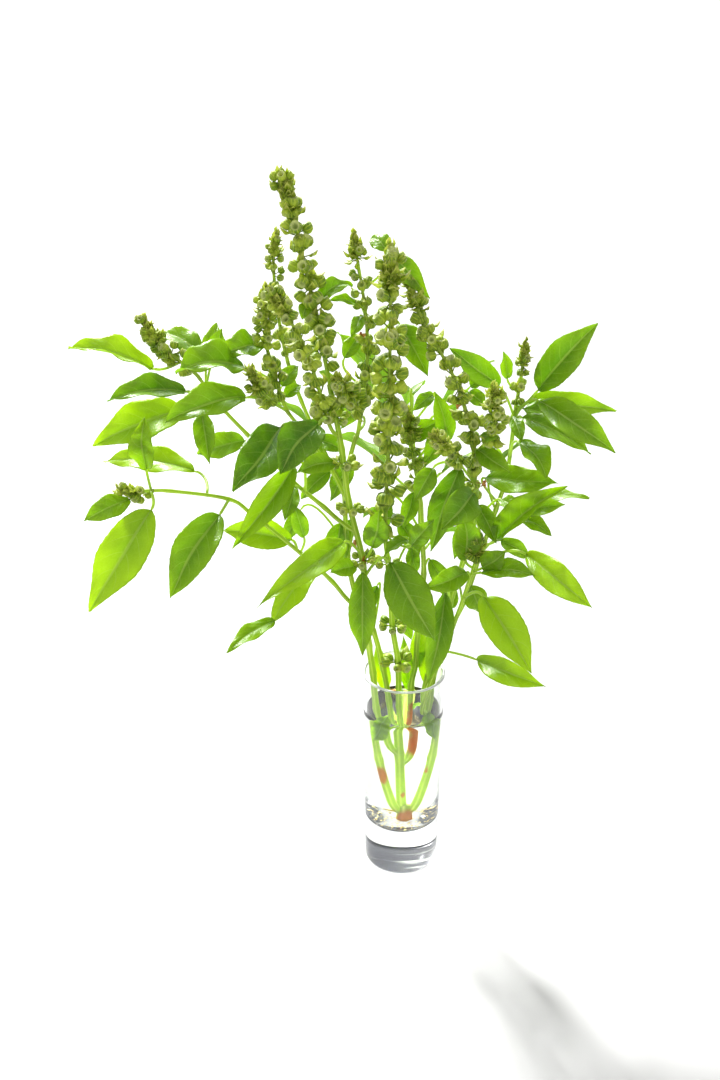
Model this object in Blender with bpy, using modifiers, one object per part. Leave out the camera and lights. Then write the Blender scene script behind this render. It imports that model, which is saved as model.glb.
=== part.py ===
"""Flowering lime basil, cut and standing in a small glass of water.

Lengths in the tables are millimetres, with the origin at the centre of the glass's base and +Z up.
"""
import math

import bmesh
import bpy
from mathutils import Vector
from mathutils.geometry import interpolate_bezier

MM = 0.001
GAP = 0.3               # clearance between touching pieces

# Glass
GLASS_HEIGHT = 110.0
BASE_RADIUS = 18.5
RIM_RADIUS = 20.0
WALL = 1.6
FLOOR_THICK = 25.0      # the solid base under the water
RIM_ROUND = 0.6
GLASS_STEPS = 32

# Water
WATER_LEVEL = 89.0

# Plant
LEAF_THICK = 0.8
PETIOLE_WIDTH = 1.6
STALK_RISE = 1.1        # climb of a stalk from its root to the blade, per unit of reach
STALK_RISE_MOST = 15.0
STEM_STEP = 9.0         # spacing of the rings along a stem
WHORL_RADIUS = 6.5      # a full ring of seed cups
NECK_RADIUS = 1.6       # the spike between two whorls
STEM_SIDES = 0          # bevel resolution that gives a square stem
SPIKE_SIDES = 1         # bevel resolution that gives six sides

COLORS = {
    "glass": (0.93, 0.97, 0.95, 0.3),
    "water": (0.90, 0.97, 0.95, 0.4),
    "stem": (0.42, 0.62, 0.16, 1.0),
    "spike": (0.23, 0.34, 0.10, 1.0),
    "leaf": (0.20, 0.47, 0.05, 1.0),
}
ROUGHNESS = {"glass": 0.03, "water": 0.02, "stem": 0.55, "spike": 0.7, "leaf": 0.42}

# Each stem: start radius, end radius, then the points of its path
STEMS = {
    "crown": (3.2, 2.6, [(1, 0, 25.4), (1, 0, 34.4)]),
    "stem_tall": (1.9, 1.3, [
        (-3, -1, 35), (-9, -3, 63), (-13, -4, 91), (-15, -5, 112), (-17, -10, 130), (-19, -18, 159),
        (-20, -22, 181), (-26, -22, 209), (-29, -22, 234), (-34, -19, 262)]),
    "stem_left": (1.6, 1.1, [
        (-5, 0, 72), (-7, 1, 92), (-10, 2, 110), (-15, -1, 133), (-23, -3, 152), (-27, 1, 173),
        (-28, 2, 200), (-27, 2, 214), (-23, 1, 231)]),
    "stem_middle": (1.9, 1.2, [
        (0, 1, 35), (-1, 1, 65), (-2, 2, 88), (-3, 0, 115), (-6, -8, 139), (-8, -14, 170), (-10, -18, 190)]),
    "stem_back": (1.6, 1.2, [
        (3, 4, 66), (4, 7, 96), (6, 9, 108), (7, 9, 132), (9, 9, 158), (7, 8, 186), (6, 8, 201)]),
    "stem_right": (1.9, 1.2, [
        (5, 1, 35), (10, 2, 62), (13, 0, 93), (15, -1, 112), (22, -6, 156), (26, -10, 175), (29, -14, 192),
        (30, -16, 207)]),
    "stem_low_right": (1.3, 0.9, [(9, -6, 92), (14, -7, 112), (18, -12, 127), (27, -24, 169), (30, -29, 186)]),
    "stem_outer_right": (1.4, 1.0, [
        (10, 6, 92), (14, 6, 111), (21, 8, 126), (29, 10, 143), (36, 12, 168), (42, 12, 190), (46, 10, 209),
        (48, 7, 242)]),
    "branch_far_left": (1.2, 0.9, [
        (-27, -11, 155), (-34, -12, 165), (-46, -15, 179), (-68, -22, 203), (-78, -25, 212),
        (-102, -30, 218), (-110, -32, 219)]),
    "branch_upper_left": (1.2, 0.9, [
        (-31, -18, 199), (-37, -16, 204), (-52, -10, 215), (-71, 0, 232), (-82, 4, 243), (-93, 8, 257)]),
    "branch_third": (1.2, 0.9, [(-29, -8, 208), (-34, -9, 219), (-43, -12, 234), (-53, -14, 249)]),
    "branch_rear_left": (1.2, 0.9, [(-29, 6, 203), (-40, 20, 221), (-48, 22, 240), (-54, 24, 258)]),
    "branch_rear": (1.1, 0.8, [(9, 12, 160), (8, 28, 185), (4, 42, 214), (3, 50, 236)]),
}

# Each flower spike: the number of whorls, their size against the largest, and the path to its tip
SPIKES = {
    "spike_tall": (8, 1.0, [(-34, -19, 263), (-40, -16, 294), (-44, -14, 312), (-48, -12, 330), (-53, -10, 348)]),
    "spike_left": (5, 0.8, [(-53, -14, 250), (-57, -16, 264), (-60, -18, 280), (-60, -20, 303)]),
    "spike_rear_left": (5, 0.7, [(-54, 24, 259), (-57, 25, 275), (-59, 25, 301), (-57, 25, 316)]),
    "spike_front_left": (6, 0.9, [(-34, -25, 246), (-39, -34, 269), (-45, -41, 289), (-56, -48, 311)]),
    "spike_upper_left": (4, 0.8, [(-94, 8, 258), (-106, 10, 268), (-116, 12, 281)]),
    "spike_centre_left": (6, 0.8, [(-22, 1, 233), (-19, 2, 257), (-18, 4, 269), (-19, 6, 287), (-24, 7, 319)]),
    "spike_dark": (3, 1.0, [(-22, -6, 244), (-25, -14, 254), (-31, -30, 268)]),
    "spike_centre": (10, 1.15, [(-10, -18, 191), (-10, -22, 210), (-9, -26, 240), (-9, -28, 288), (-9, -26, 322)]),
    "spike_centre_right": (4, 0.8, [(6, 8, 202), (3, 9, 217), (0, 10, 240)]),
    "spike_right": (9, 0.95, [
        (30, -16, 208), (28, -18, 225), (27, -18, 239), (24, -16, 249), (17, -12, 266), (5, -8, 286),
        (-1, -2, 303)]),
    "spike_outer_right": (2, 0.7, [(48, 7, 243), (49, 4, 256), (50, 2, 274)]),
    "spike_inner_right": (3, 0.8, [(34, -24, 236), (35, -30, 248), (33, -38, 268)]),
}

# Each leaf: the stem it grows from, blade base, blade tip, width, lean of its face toward the front,
# sideways turn of the face, rise of the middle above the chord
LEAVES = {
    "leaf_01": ("spike_upper_left", (-112, 8, 260), (-145, -6, 274), 17, 25, 0, 3),
    "leaf_02": ("branch_upper_left", (-100, 12, 239), (-139, -4, 228), 21, 42, 0, 5),
    "leaf_03": ("branch_upper_left", (-97, -2, 253), (-126, -28, 258), 16, 40, 0, 4),
    "leaf_04": ("branch_third", (-68, -34, 262), (-99, -54, 258), 19, 35, 0, 5),
    "leaf_05": ("spike_left", (-69, -20, 270), (-95, -42, 275), 21, 38, 0, 5),
    "leaf_06": ("branch_third", (-54, -29, 247), (-72, -64, 233), 19, 62, 0, 5),
    "leaf_07": ("spike_front_left", (-38, -46, 255), (-53, -66, 241), 18, 62, 0, 4),
    "leaf_08": ("branch_upper_left", (-49, -26, 228), (-76, -37, 194), 17, 40, 25, 4),
    "leaf_09": ("branch_far_left", (-81, -34, 209), (-101, -58, 181), 20, 62, 0, 5),
    "leaf_10": ("branch_far_left", (-52, -12, 186), (-83, -10, 190), 16, 60, 0, 4),
    "leaf_11": ("branch_far_left", (-44, -26, 178), (-60, -44, 161), 13, 50, 0, 4),
    "leaf_12": ("stem_tall", (-28, -30, 194), (-63, -76, 187), 15, 20, 40, 5),
    "leaf_13": ("branch_far_left", (-109, -40, 214), (-134, -64, 178), 21, 62, 0, 5),
    "leaf_14": ("branch_far_left", (-112, -28, 227), (-110, -34, 253), 13, 62, 0, 4),
    "leaf_15": ("branch_far_left", (-94, -10, 219), (-138, 10, 215), 15, 30, 0, 4),
    "leaf_16": ("stem_tall", (-20, -28, 178), (-20, -36, 140), 13, 85, 0, 3),
    "leaf_17": ("stem_tall", (-8, -34, 186), (11, -54, 158), 20, 64, 0, 5),
    "leaf_18": ("stem_right", (18, -14, 160), (10, -28, 120), 13, 70, 0, 4),
    "leaf_19": ("spike_right", (21, -28, 228), (9, -40, 194), 14, 62, 0, 4),
    "leaf_20": ("spike_right", (27, -34, 219), (12, -56, 212), 16, 62, 0, 4),
    "leaf_21": ("stem_right", (39, -24, 192), (63, -52, 230), 18, 50, -20, 4),
    "leaf_22": ("stem_low_right", (50, -38, 192), (75, -66, 181), 15, 62, 0, 4),
    "leaf_23": ("stem_low_right", (33, -36, 170), (52, -64, 148), 20, 62, 0, 5),
    "leaf_24": ("stem_right", (32, -28, 133), (60, -54, 135), 13, 60, 0, 4),
    "leaf_25": ("stem_outer_right", (56, -1, 253), (78, -11, 286), 17, 60, -15, 5),
    "leaf_26": ("stem_outer_right", (40, 4, 253), (17, -4, 273), 12, 60, 0, 4),
    "leaf_27": ("stem_outer_right", (56, -9, 251), (85, -36, 238), 15, 60, 0, 6),
    "leaf_28": ("stem_outer_right", (52, 10, 243), (93, 8, 240), 13, 45, 0, 4),
    "leaf_29": ("branch_rear", (-4, 40, 222), (-32, 62, 260), 17, -50, 0, 5),
    "leaf_30": ("branch_rear", (14, 42, 226), (44, 68, 244), 17, -50, 0, 5),
    "leaf_31": ("branch_rear", (-6, 36, 198), (-36, 68, 204), 18, -40, 0, 5),
    "leaf_32": ("branch_rear", (18, 38, 198), (50, 64, 196), 18, -40, 0, 5),
    "leaf_33": ("branch_rear", (4, 58, 230), (2, 84, 214), 17, -20, 0, 6),
}

# Half-width of a blade along its length, as (position, share of the full half-width)
BLADE = [(0.0, 0.12), (0.16, 0.66), (0.38, 1.0), (0.6, 0.9), (0.8, 0.55), (0.94, 0.2), (1.0, 0.05)]
FOLD = math.radians(12)     # each half of a blade rises from the midrib by this angle


def make_collection(name):
    collection = bpy.data.collections.new(name)
    bpy.context.scene.collection.children.link(collection)
    return collection


def make_material(name):
    material = bpy.data.materials.new(name)
    material.use_nodes = True
    shader = material.node_tree.nodes["Principled BSDF"]
    red, green, blue, alpha = COLORS[name]
    shader.inputs["Base Color"].default_value = (red, green, blue, 1.0)
    shader.inputs["Alpha"].default_value = alpha
    shader.inputs["Roughness"].default_value = ROUGHNESS[name]
    shader.inputs["Metallic"].default_value = 0.0
    return material


def add_object(name, data, material, collection):
    """Link new data as an object named for its sub-part."""
    item = bpy.data.objects.new(name, data)
    data.materials.append(material)
    collection.objects.link(item)
    return item


def smooth_path(points, step):
    """Points at about the given spacing on a smooth curve through the given points, in millimetres."""
    knots = [Vector(p) for p in points]
    ends = [knots[0] * 2 - knots[1]] + knots + [knots[-1] * 2 - knots[-2]]
    path = [knots[0]]
    for before, start, end, after in zip(ends, ends[1:], ends[2:], ends[3:]):
        count = max(1, round((end - start).length / step))
        handle_a = start + (end - before) / 6
        handle_b = end - (after - start) / 6
        path += interpolate_bezier(start, handle_a, handle_b, end, count + 1)[1:]
    return path


def make_tube(name, path, radii, sides, material, collection):
    """A closed tube whose radius follows the path, in millimetres."""
    curve = bpy.data.curves.new(name, "CURVE")
    curve.dimensions = "3D"
    curve.bevel_depth = MM
    curve.bevel_resolution = sides
    curve.use_fill_caps = True
    spline = curve.splines.new("POLY")
    spline.points.add(len(path) - 1)
    for knot, place, radius in zip(spline.points, path, radii):
        knot.co = (*(place * MM), 1.0)
        knot.radius = radius
    return add_object(name, curve, material, collection)


def make_stem(name, material, collection, extra=0.0):
    """A stem, or with extra its swollen shape, which is also longer at both ends."""
    start, end, points = STEMS[name]
    path = smooth_path(points, STEM_STEP)
    path[0] += (path[0] - path[1]).normalized() * extra
    path[-1] += (path[-1] - path[-2]).normalized() * extra
    last = len(path) - 1
    radii = [start + (end - start) * i / last + extra for i in range(last + 1)]
    return make_tube(name, path, radii, STEM_SIDES, material, collection)


def make_spike(name, material, collection):
    """A flower spike: bulges at the whorls, narrow necks between them, and a pointed tip of buds."""
    whorls, size, points = SPIKES[name]
    path = smooth_path(points, 1.0)
    last = len(path) - 1
    stations = [(0, NECK_RADIUS)]
    for index in range(whorls):
        centre = (index + 0.62) / (whorls + 0.35)
        half = 0.24 / (whorls + 0.35)
        full = WHORL_RADIUS * size * (1.0 - 0.45 * centre ** 2)
        stations += [(centre - half * 1.6, NECK_RADIUS), (centre - half, full), (centre + half, full)]
    stations += [(1.0, 0.5)]
    places = [path[round(share * last)] for share, _ in stations]
    return make_tube(name, places, [radius for _, radius in stations], SPIKE_SIDES, material, collection)


def stalk_root(name, base):
    """Where a leaf's stalk leaves its stem: below the blade's base and just clear of the bark."""
    if name in STEMS:
        start, end, points = STEMS[name]
        clear = max(start, end) + 2 * GAP
    else:
        points = SPIKES[name][2]
        clear = WHORL_RADIUS * SPIKES[name][1] + 2 * GAP
    path = smooth_path(points, 2.0)
    reach = min((place - base).length for place in path)
    lower = base - Vector((0, 0, min(reach * STALK_RISE, STALK_RISE_MOST)))
    index = min(range(len(path)), key=lambda i: (path[i] - lower).length)
    along = (path[min(index + 1, len(path) - 1)] - path[max(index - 1, 0)]).normalized()
    outward = base - path[index]
    outward -= along * outward.dot(along)
    return path[index] + outward.normalized() * clear


def leaf_sections(row):
    """Centre and half-width at each station from the stem to the leaf's tip, and the blade's face."""
    stem, base, tip, width, lean, side, rise = row
    base, tip = Vector(base), Vector(tip)
    face = Vector((math.sin(math.radians(side)), -math.sin(math.radians(lean)), math.cos(math.radians(lean))))
    crest = (base + tip) / 2 + face * rise * 2
    root = stalk_root(stem, base)
    stalk_bend = base - (crest - base).normalized() * (base - root).length * 0.4
    sections = []
    for share in (0.0, 0.5):
        place = root.lerp(stalk_bend, share).lerp(stalk_bend.lerp(base, share), share)
        sections.append((place, PETIOLE_WIDTH / 2))
    for share, part in BLADE:
        place = base.lerp(crest, share).lerp(crest.lerp(tip, share), share)
        sections.append((place, max(PETIOLE_WIDTH / 2, part * width / 2)))
    return sections, face


def make_leaf(name, material, collection):
    """A folded blade and its stalk as one thin closed shell."""
    sections, face = leaf_sections(LEAVES[name])
    build = bmesh.new()
    rings = []
    for index, (place, half) in enumerate(sections):
        ahead = sections[min(index + 1, len(sections) - 1)][0]
        behind = sections[max(index - 1, 0)][0]
        along = (ahead - behind).normalized()
        across = along.cross(face).normalized()
        up = across.cross(along)
        lift = up * half * math.sin(FOLD)
        reach = across * half * math.cos(FOLD)
        rings.append([build.verts.new(p * MM) for p in (place - reach + lift, place, place + reach + lift)])
    for near, far in zip(rings, rings[1:]):
        for side in (0, 1):
            build.faces.new((near[side], near[side + 1], far[side + 1], far[side]))
    mesh = bpy.data.meshes.new(name)
    build.to_mesh(mesh)
    build.free()
    item = add_object(name, mesh, material, collection)
    shell = item.modifiers.new("Thickness", "SOLIDIFY")
    shell.thickness = LEAF_THICK * MM
    shell.offset = 0.0
    return item


def turned(name, profile, material, collection):
    """A solid of revolution from (radius, height) points that run down its outer side."""
    mesh = bpy.data.meshes.new(name)
    verts = [(radius * MM, 0.0, height * MM) for radius, height in profile]
    mesh.from_pydata(verts, [(i, i + 1) for i in range(len(verts) - 1)], [])
    item = add_object(name, mesh, material, collection)
    screw = item.modifiers.new("Turn", "SCREW")
    screw.steps = screw.render_steps = GLASS_STEPS
    screw.use_merge_vertices = True
    screw.merge_threshold = 0.00001
    screw.use_smooth_shade = True
    return item


def inner_radius(height):
    """Radius of the glass's bore at a height."""
    return BASE_RADIUS - WALL + (RIM_RADIUS - BASE_RADIUS) * height / GLASS_HEIGHT


def make_glass(material, collection):
    bore_top = inner_radius(GLASS_HEIGHT)
    bore_foot = inner_radius(FLOOR_THICK)
    profile = [
        (0.0, FLOOR_THICK),
        (bore_foot - 4.0, FLOOR_THICK),
        (bore_foot - 1.0, FLOOR_THICK + 1.2),
        (inner_radius(FLOOR_THICK + 4.0), FLOOR_THICK + 4.0),
        (bore_top, GLASS_HEIGHT - RIM_ROUND),
        (bore_top + RIM_ROUND * 0.6, GLASS_HEIGHT),
        (RIM_RADIUS - RIM_ROUND * 0.6, GLASS_HEIGHT),
        (RIM_RADIUS, GLASS_HEIGHT - RIM_ROUND),
        (BASE_RADIUS, 1.0),
        (BASE_RADIUS - 1.0, 0.0),
        (0.0, 0.0),
    ]
    return turned("glass", profile, material, collection)


def make_water(material, collection, cutters):
    """The water fills the bore and is cut clear of every stem that stands in it."""
    foot = FLOOR_THICK + GAP
    profile = [
        (0.0, WATER_LEVEL),
        (inner_radius(WATER_LEVEL) - GAP, WATER_LEVEL),
        (inner_radius(FLOOR_THICK + 4.0) - GAP, FLOOR_THICK + 4.0),
        (inner_radius(FLOOR_THICK) - 1.2 - GAP, foot + 1.2),
        (inner_radius(FLOOR_THICK) - 4.0 - GAP, foot),
        (0.0, foot),
    ]
    water = turned("water", profile, material, collection)
    for name, (_, _, points) in STEMS.items():
        if points[0][2] < WATER_LEVEL:
            cut = water.modifiers.new(name, "BOOLEAN")
            cut.object = make_cutter(name, material, cutters)
            cut.solver = "EXACT"
            cut.operation = "DIFFERENCE"
    return water


def make_cutter(name, material, cutters):
    """The stem's own shape, larger all round by the clearance, as a mesh."""
    tube = make_stem(name, material, cutters, extra=GAP * 1.6)
    bpy.context.view_layer.update()
    graph = bpy.context.evaluated_depsgraph_get()
    mesh = bpy.data.meshes.new_from_object(tube.evaluated_get(graph))
    weld = bmesh.new()
    weld.from_mesh(mesh)
    bmesh.ops.remove_doubles(weld, verts=weld.verts, dist=0.00001)
    weld.to_mesh(mesh)
    weld.free()
    cutter = bpy.data.objects.new(name + "_cut", mesh)
    cutters.objects.link(cutter)
    cutter.matrix_world = tube.matrix_world
    bpy.data.objects.remove(tube)
    cutter.hide_render = True
    cutter.display_type = "WIRE"
    return cutter


def main():
    for item in list(bpy.data.objects):
        bpy.data.objects.remove(item)
    parts = make_collection("lime_basil_in_glass")
    cutters = make_collection("cutters")
    materials = {name: make_material(name) for name in COLORS}
    make_glass(materials["glass"], parts)
    make_water(materials["water"], parts, cutters)
    for name in STEMS:
        make_stem(name, materials["stem"], parts)
    for name in SPIKES:
        make_spike(name, materials["spike"], parts)
    for name in LEAVES:
        make_leaf(name, materials["leaf"], parts)


main()
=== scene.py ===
import math

import bmesh
import bpy
import numpy as np
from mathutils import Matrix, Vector
from mathutils.geometry import interpolate_bezier


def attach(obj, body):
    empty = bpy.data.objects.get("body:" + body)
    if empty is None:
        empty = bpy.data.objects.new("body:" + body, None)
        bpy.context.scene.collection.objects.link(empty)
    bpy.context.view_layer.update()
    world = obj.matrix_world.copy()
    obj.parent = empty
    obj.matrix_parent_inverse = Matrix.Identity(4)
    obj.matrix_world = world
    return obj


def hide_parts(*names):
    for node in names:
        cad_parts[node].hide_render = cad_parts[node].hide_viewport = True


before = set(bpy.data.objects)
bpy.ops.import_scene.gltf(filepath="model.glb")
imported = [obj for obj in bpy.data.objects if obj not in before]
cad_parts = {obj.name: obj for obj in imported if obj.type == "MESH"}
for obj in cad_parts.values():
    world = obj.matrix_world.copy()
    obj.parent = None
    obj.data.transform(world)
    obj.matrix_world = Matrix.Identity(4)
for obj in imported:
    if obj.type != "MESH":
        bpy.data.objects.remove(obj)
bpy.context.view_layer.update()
mm = 0.001


def smoothPath(points, step):
    # a smooth curve through the points, read at about every step, all in millimetres
    knots = [Vector(p) for p in points]
    ends = [knots[0] * 2 - knots[1]] + knots + [knots[-1] * 2 - knots[-2]]
    path = [knots[0]]
    for before, start, end, after in zip(ends, ends[1:], ends[2:], ends[3:]):
        count = max(1, round((end - start).length / step))
        handleA = start + (end - before) / 6
        handleB = end - (after - start) / 6
        path += interpolate_bezier(start, handleA, handleB, end, count + 1)[1:]
    return path


def addNode(tree, kind, values=(), **options):
    # values are given in pairs of socket and number, colour or another node's output
    made = tree.nodes.new(kind)
    for option, choice in options.items():
        setattr(made, option, choice)
    for socket, value in values:
        if isinstance(value, bpy.types.NodeSocket):
            tree.links.new(value, made.inputs[socket])
        else:
            made.inputs[socket].default_value = value
    return made


def calc(tree, operation, *values, clamp=False):
    made = addNode(tree, "ShaderNodeMath", list(enumerate(values)), operation=operation, use_clamp=clamp)
    return made.outputs[0]


def times(tree, first, second):
    return calc(tree, "MULTIPLY", first, second)


def plus(tree, first, second, clamp=False):
    return calc(tree, "ADD", first, second, clamp=clamp)


def minus(tree, first, second):
    return calc(tree, "SUBTRACT", first, second)


def gapTo(tree, value, middle):
    return calc(tree, "ABSOLUTE", minus(tree, value, middle))


def blendColor(tree, factor, first, second):
    return addNode(tree, "ShaderNodeMix", [(0, factor), (6, first), (7, second)], data_type="RGBA").outputs[2]


def ramp(tree, value, low, high, start=0.0, end=1.0):
    pairs = [("Value", value), ("From Min", low), ("From Max", high), ("To Min", start), ("To Max", end)]
    return addNode(tree, "ShaderNodeMapRange", pairs, interpolation_type="SMOOTHSTEP").outputs[0]


def newMaterial(name):
    made = bpy.data.materials.new(name)
    made.use_nodes = True
    tree = made.node_tree
    tree.nodes.clear()
    return made, tree


def maskOf(tree, name):
    return addNode(tree, "ShaderNodeAttribute", attribute_name=name).outputs["Fac"]


def bladeMap(tree):
    # the map across and along a blade, or round and along a cup
    spot = addNode(tree, "ShaderNodeUVMap", uv_map="blade")
    return addNode(tree, "ShaderNodeSeparateXYZ", [(0, spot.outputs[0])]).outputs[:2]


def objectPlace(tree):
    return tree.nodes.new("ShaderNodeTexCoord").outputs["Object"]


def finishMaterial(tree, surface, height=None, strength=0.5, distance=0.0002):
    # joins the surface to the output, with an optional relief on every shader that takes a normal
    output = tree.nodes.new("ShaderNodeOutputMaterial")
    tree.links.new(surface, output.inputs["Surface"])
    if height is not None:
        bump = addNode(tree, "ShaderNodeBump", [
            ("Height", height), ("Strength", strength), ("Distance", distance)])
        for item in tree.nodes:
            if item.bl_idname in ("ShaderNodeBsdfPrincipled", "ShaderNodeBsdfTranslucent"):
                tree.links.new(bump.outputs[0], item.inputs["Normal"])


def finishSkin(tree, values, *relief):
    skin = addNode(tree, "ShaderNodeBsdfPrincipled", values)
    finishMaterial(tree, skin.outputs[0], *relief)


def finishThin(tree, color, glow, rough, through, relief, gloss=0.5):
    # a skin that lets part of the light through
    skin = addNode(tree, "ShaderNodeBsdfPrincipled", [
        ("Base Color", color), ("Roughness", rough), ("Specular IOR Level", gloss)])
    light = addNode(tree, "ShaderNodeBsdfTranslucent", [("Color", glow)])
    both = addNode(tree, "ShaderNodeMixShader", [
        (0, through), (1, skin.outputs[0]), (2, light.outputs[0])])
    finishMaterial(tree, both.outputs[0], *relief)


def makeMottleGroup():
    # soft patches and fine grain, used on every growing surface
    group = bpy.data.node_groups.new("mottle", "ShaderNodeTree")
    group.interface.new_socket("Vector", in_out="INPUT", socket_type="NodeSocketVector")
    for name in ("Patch Scale", "Grain Scale"):
        group.interface.new_socket(name, in_out="INPUT", socket_type="NodeSocketFloat")
    for name in ("Patches", "Grain"):
        group.interface.new_socket(name, in_out="OUTPUT", socket_type="NodeSocketFloat")
    start = group.nodes.new("NodeGroupInput").outputs
    end = group.nodes.new("NodeGroupOutput").inputs
    for index in (0, 1):
        noise = addNode(group, "ShaderNodeTexNoise", [
            ("Vector", start[0]), ("Scale", start[index + 1]), ("Detail", 3.0), ("Roughness", 0.6)])
        group.links.new(noise.outputs[0], end[index])
    return group


def useMottle(tree, patchScale, grainScale):
    made = addNode(tree, "ShaderNodeGroup", [
        ("Vector", objectPlace(tree)), ("Patch Scale", patchScale), ("Grain Scale", grainScale)],
        node_tree=mottleGroup)
    return made.outputs["Patches"], made.outputs["Grain"]


mottleGroup = makeMottleGroup()

leafLook = {
    "deepGreen": (0.075, 0.160, 0.002, 1), "paleGreen": (0.300, 0.500, 0.014, 1),
    "underGreen": (0.150, 0.290, 0.050, 1), "veinGreen": (0.720, 0.880, 0.200, 1),
    "litThrough": (0.760, 0.980, 0.030, 1), "litDeep": (0.270, 0.520, 0.001, 1),
    "sideVeins": 6.0, "sweep": 0.24, "through": 0.56,
}


def makeLeafMaterial():
    look = leafLook
    made, tree = newMaterial("leafSkin")
    patches, grain = useMottle(tree, 55.0, 1500.0)
    across, along = bladeMap(tree)
    away = times(tree, gapTo(tree, across, 0.5), 2.0)
    swept = minus(tree, along, times(tree, calc(tree, "POWER", away, 1.35), look["sweep"]))
    phase = calc(tree, "FRACT", times(tree, swept, look["sideVeins"]))
    sideVein = ramp(tree, gapTo(tree, phase, 0.5), 0.05, 0.008)
    sideVein = times(tree, sideVein, ramp(tree, away, 1.0, 0.45, 0.0, 0.55))
    veins = calc(tree, "MAXIMUM", ramp(tree, away, 0.095, 0.030), sideVein)
    fleck = addNode(tree, "ShaderNodeTexVoronoi", [("Vector", objectPlace(tree)), ("Scale", 700.0)],
                    feature="DISTANCE_TO_EDGE")
    netting = ramp(tree, fleck.outputs[0], 0.12, 0.0)
    under = maskOf(tree, "under")
    # the paleness mask is partly the leaf's own colour and partly painted light and shade
    palenessAndLight = plus(tree, maskOf(tree, "tone"), times(tree, minus(tree, patches, 0.5), 0.7), clamp=True)
    # painted light: paler toward the margin and toward the tip, standing in for the lit edges and the shaded
    # middle and base of a backlit leaf
    palenessAndLight = plus(tree, palenessAndLight, times(tree, minus(tree, away, 0.45), 0.35))
    palenessAndLight = plus(tree, palenessAndLight, times(tree, minus(tree, along, 0.5), 0.2), clamp=True)
    green = blendColor(tree, palenessAndLight, look["deepGreen"], look["paleGreen"])
    green = blendColor(tree, under, green, look["underGreen"])
    green = blendColor(tree, times(tree, netting, 0.16), green, look["veinGreen"])
    green = blendColor(tree, times(tree, veins, 0.50), green, look["veinGreen"])
    glow = blendColor(tree, palenessAndLight, look["litDeep"], look["litThrough"])
    glow = blendColor(tree, times(tree, veins, 0.62), glow, look["veinGreen"])
    rough = plus(tree, 0.22, times(tree, under, 0.28))
    rough = plus(tree, rough, times(tree, grain, 0.16))
    height = minus(tree, times(tree, grain, 0.25), times(tree, netting, 0.35))
    height = minus(tree, height, times(tree, veins, 0.6))
    finishThin(tree, green, glow, rough, look["through"], (height, 0.45, 0.0002), gloss=0.42)
    return made


stemLook = {
    "shade": (0.440, 0.620, 0.045, 1), "ridge": (0.860, 0.960, 0.250, 1),
    "rust": (0.58, 0.20, 0.02, 1), "through": 0.52,
}


def makeStemMaterial():
    look = stemLook
    made, tree = newMaterial("stemSkin")
    patches, grain = useMottle(tree, 90.0, 1200.0)
    # painted shade: the hollow faces between the ribs take the darker shade colour and the ribs the paler
    # ridge colour
    pale = plus(tree, times(tree, maskOf(tree, "ridge"), 0.75),
                times(tree, minus(tree, patches, 0.45), 0.6), clamp=True)
    green = blendColor(tree, pale, look["shade"], look["ridge"])
    worn = ramp(tree, plus(tree, maskOf(tree, "rust"), times(tree, patches, 0.5)), 0.50, 0.95)
    color = blendColor(tree, worn, green, look["rust"])
    rough = plus(tree, 0.42, times(tree, grain, 0.25))
    finishThin(tree, color, color, rough, look["through"], (grain, 0.35, 0.0003))
    return made


cupLook = {
    "dark": (0.160, 0.300, 0.008, 1), "pale": (0.650, 0.790, 0.070, 1),
    "edge": (0.900, 0.940, 0.400, 1), "ribs": 9.0, "through": 0.30, "hollow": 0.40,
}
budLook = {
    "dark": (0.330, 0.460, 0.020, 1), "pale": (0.720, 0.830, 0.110, 1),
    "edge": (0.860, 0.880, 0.260, 1), "ribs": 2.0, "through": 0.55, "hollow": 0.0,
}


def makeCupMaterial(name, look):
    made, tree = newMaterial(name)
    patches, grain = useMottle(tree, 160.0, 2400.0)
    across, along = bladeMap(tree)
    phase = calc(tree, "FRACT", times(tree, across, look["ribs"]))
    rib = ramp(tree, gapTo(tree, phase, 0.5), 0.22, 0.04)
    color = blendColor(tree, ramp(tree, patches, 0.35, 0.75), look["dark"], look["pale"])
    color = blendColor(tree, times(tree, rib, 0.70), color, look["pale"])
    # partly painted highlight: the paler lip is the cup's own pale edge, with its edge colour raised to stand
    # in for rim light; the paler tips of the bud scales are their own colour
    color = blendColor(tree, times(tree, ramp(tree, along, 0.62, 0.86), 0.7), color, look["edge"])
    # painted shade: the inside of the mouth is darkened toward the dark colour
    inside = times(tree, ramp(tree, along, 0.87, 0.96), look["hollow"])
    color = blendColor(tree, inside, color, look["dark"])
    rough = plus(tree, 0.32, times(tree, grain, 0.25))
    height = plus(tree, times(tree, rib, 0.6), times(tree, grain, 0.5))
    finishThin(tree, color, color, rough, look["through"], (height, 0.6, 0.0003), gloss=0.35)
    return made


def makeHairMaterial():
    made, tree = newMaterial("hair")
    patches, grain = useMottle(tree, 120.0, 900.0)
    color = blendColor(tree, patches, (0.55, 0.68, 0.30, 1), (0.80, 0.86, 0.62, 1))
    finishThin(tree, color, color, 0.5, 0.4, (grain, 0.2, 0.0001))
    return made


def makeDryMaterial(name, dark, pale):
    made, tree = newMaterial(name)
    patches, grain = useMottle(tree, 500.0, 2500.0)
    color = blendColor(tree, ramp(tree, patches, 0.3, 0.7), dark, pale)
    rough = plus(tree, 0.55, times(tree, grain, 0.3))
    finishSkin(tree, [("Base Color", color), ("Roughness", rough)], grain, 0.7, 0.0003)
    return made


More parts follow.
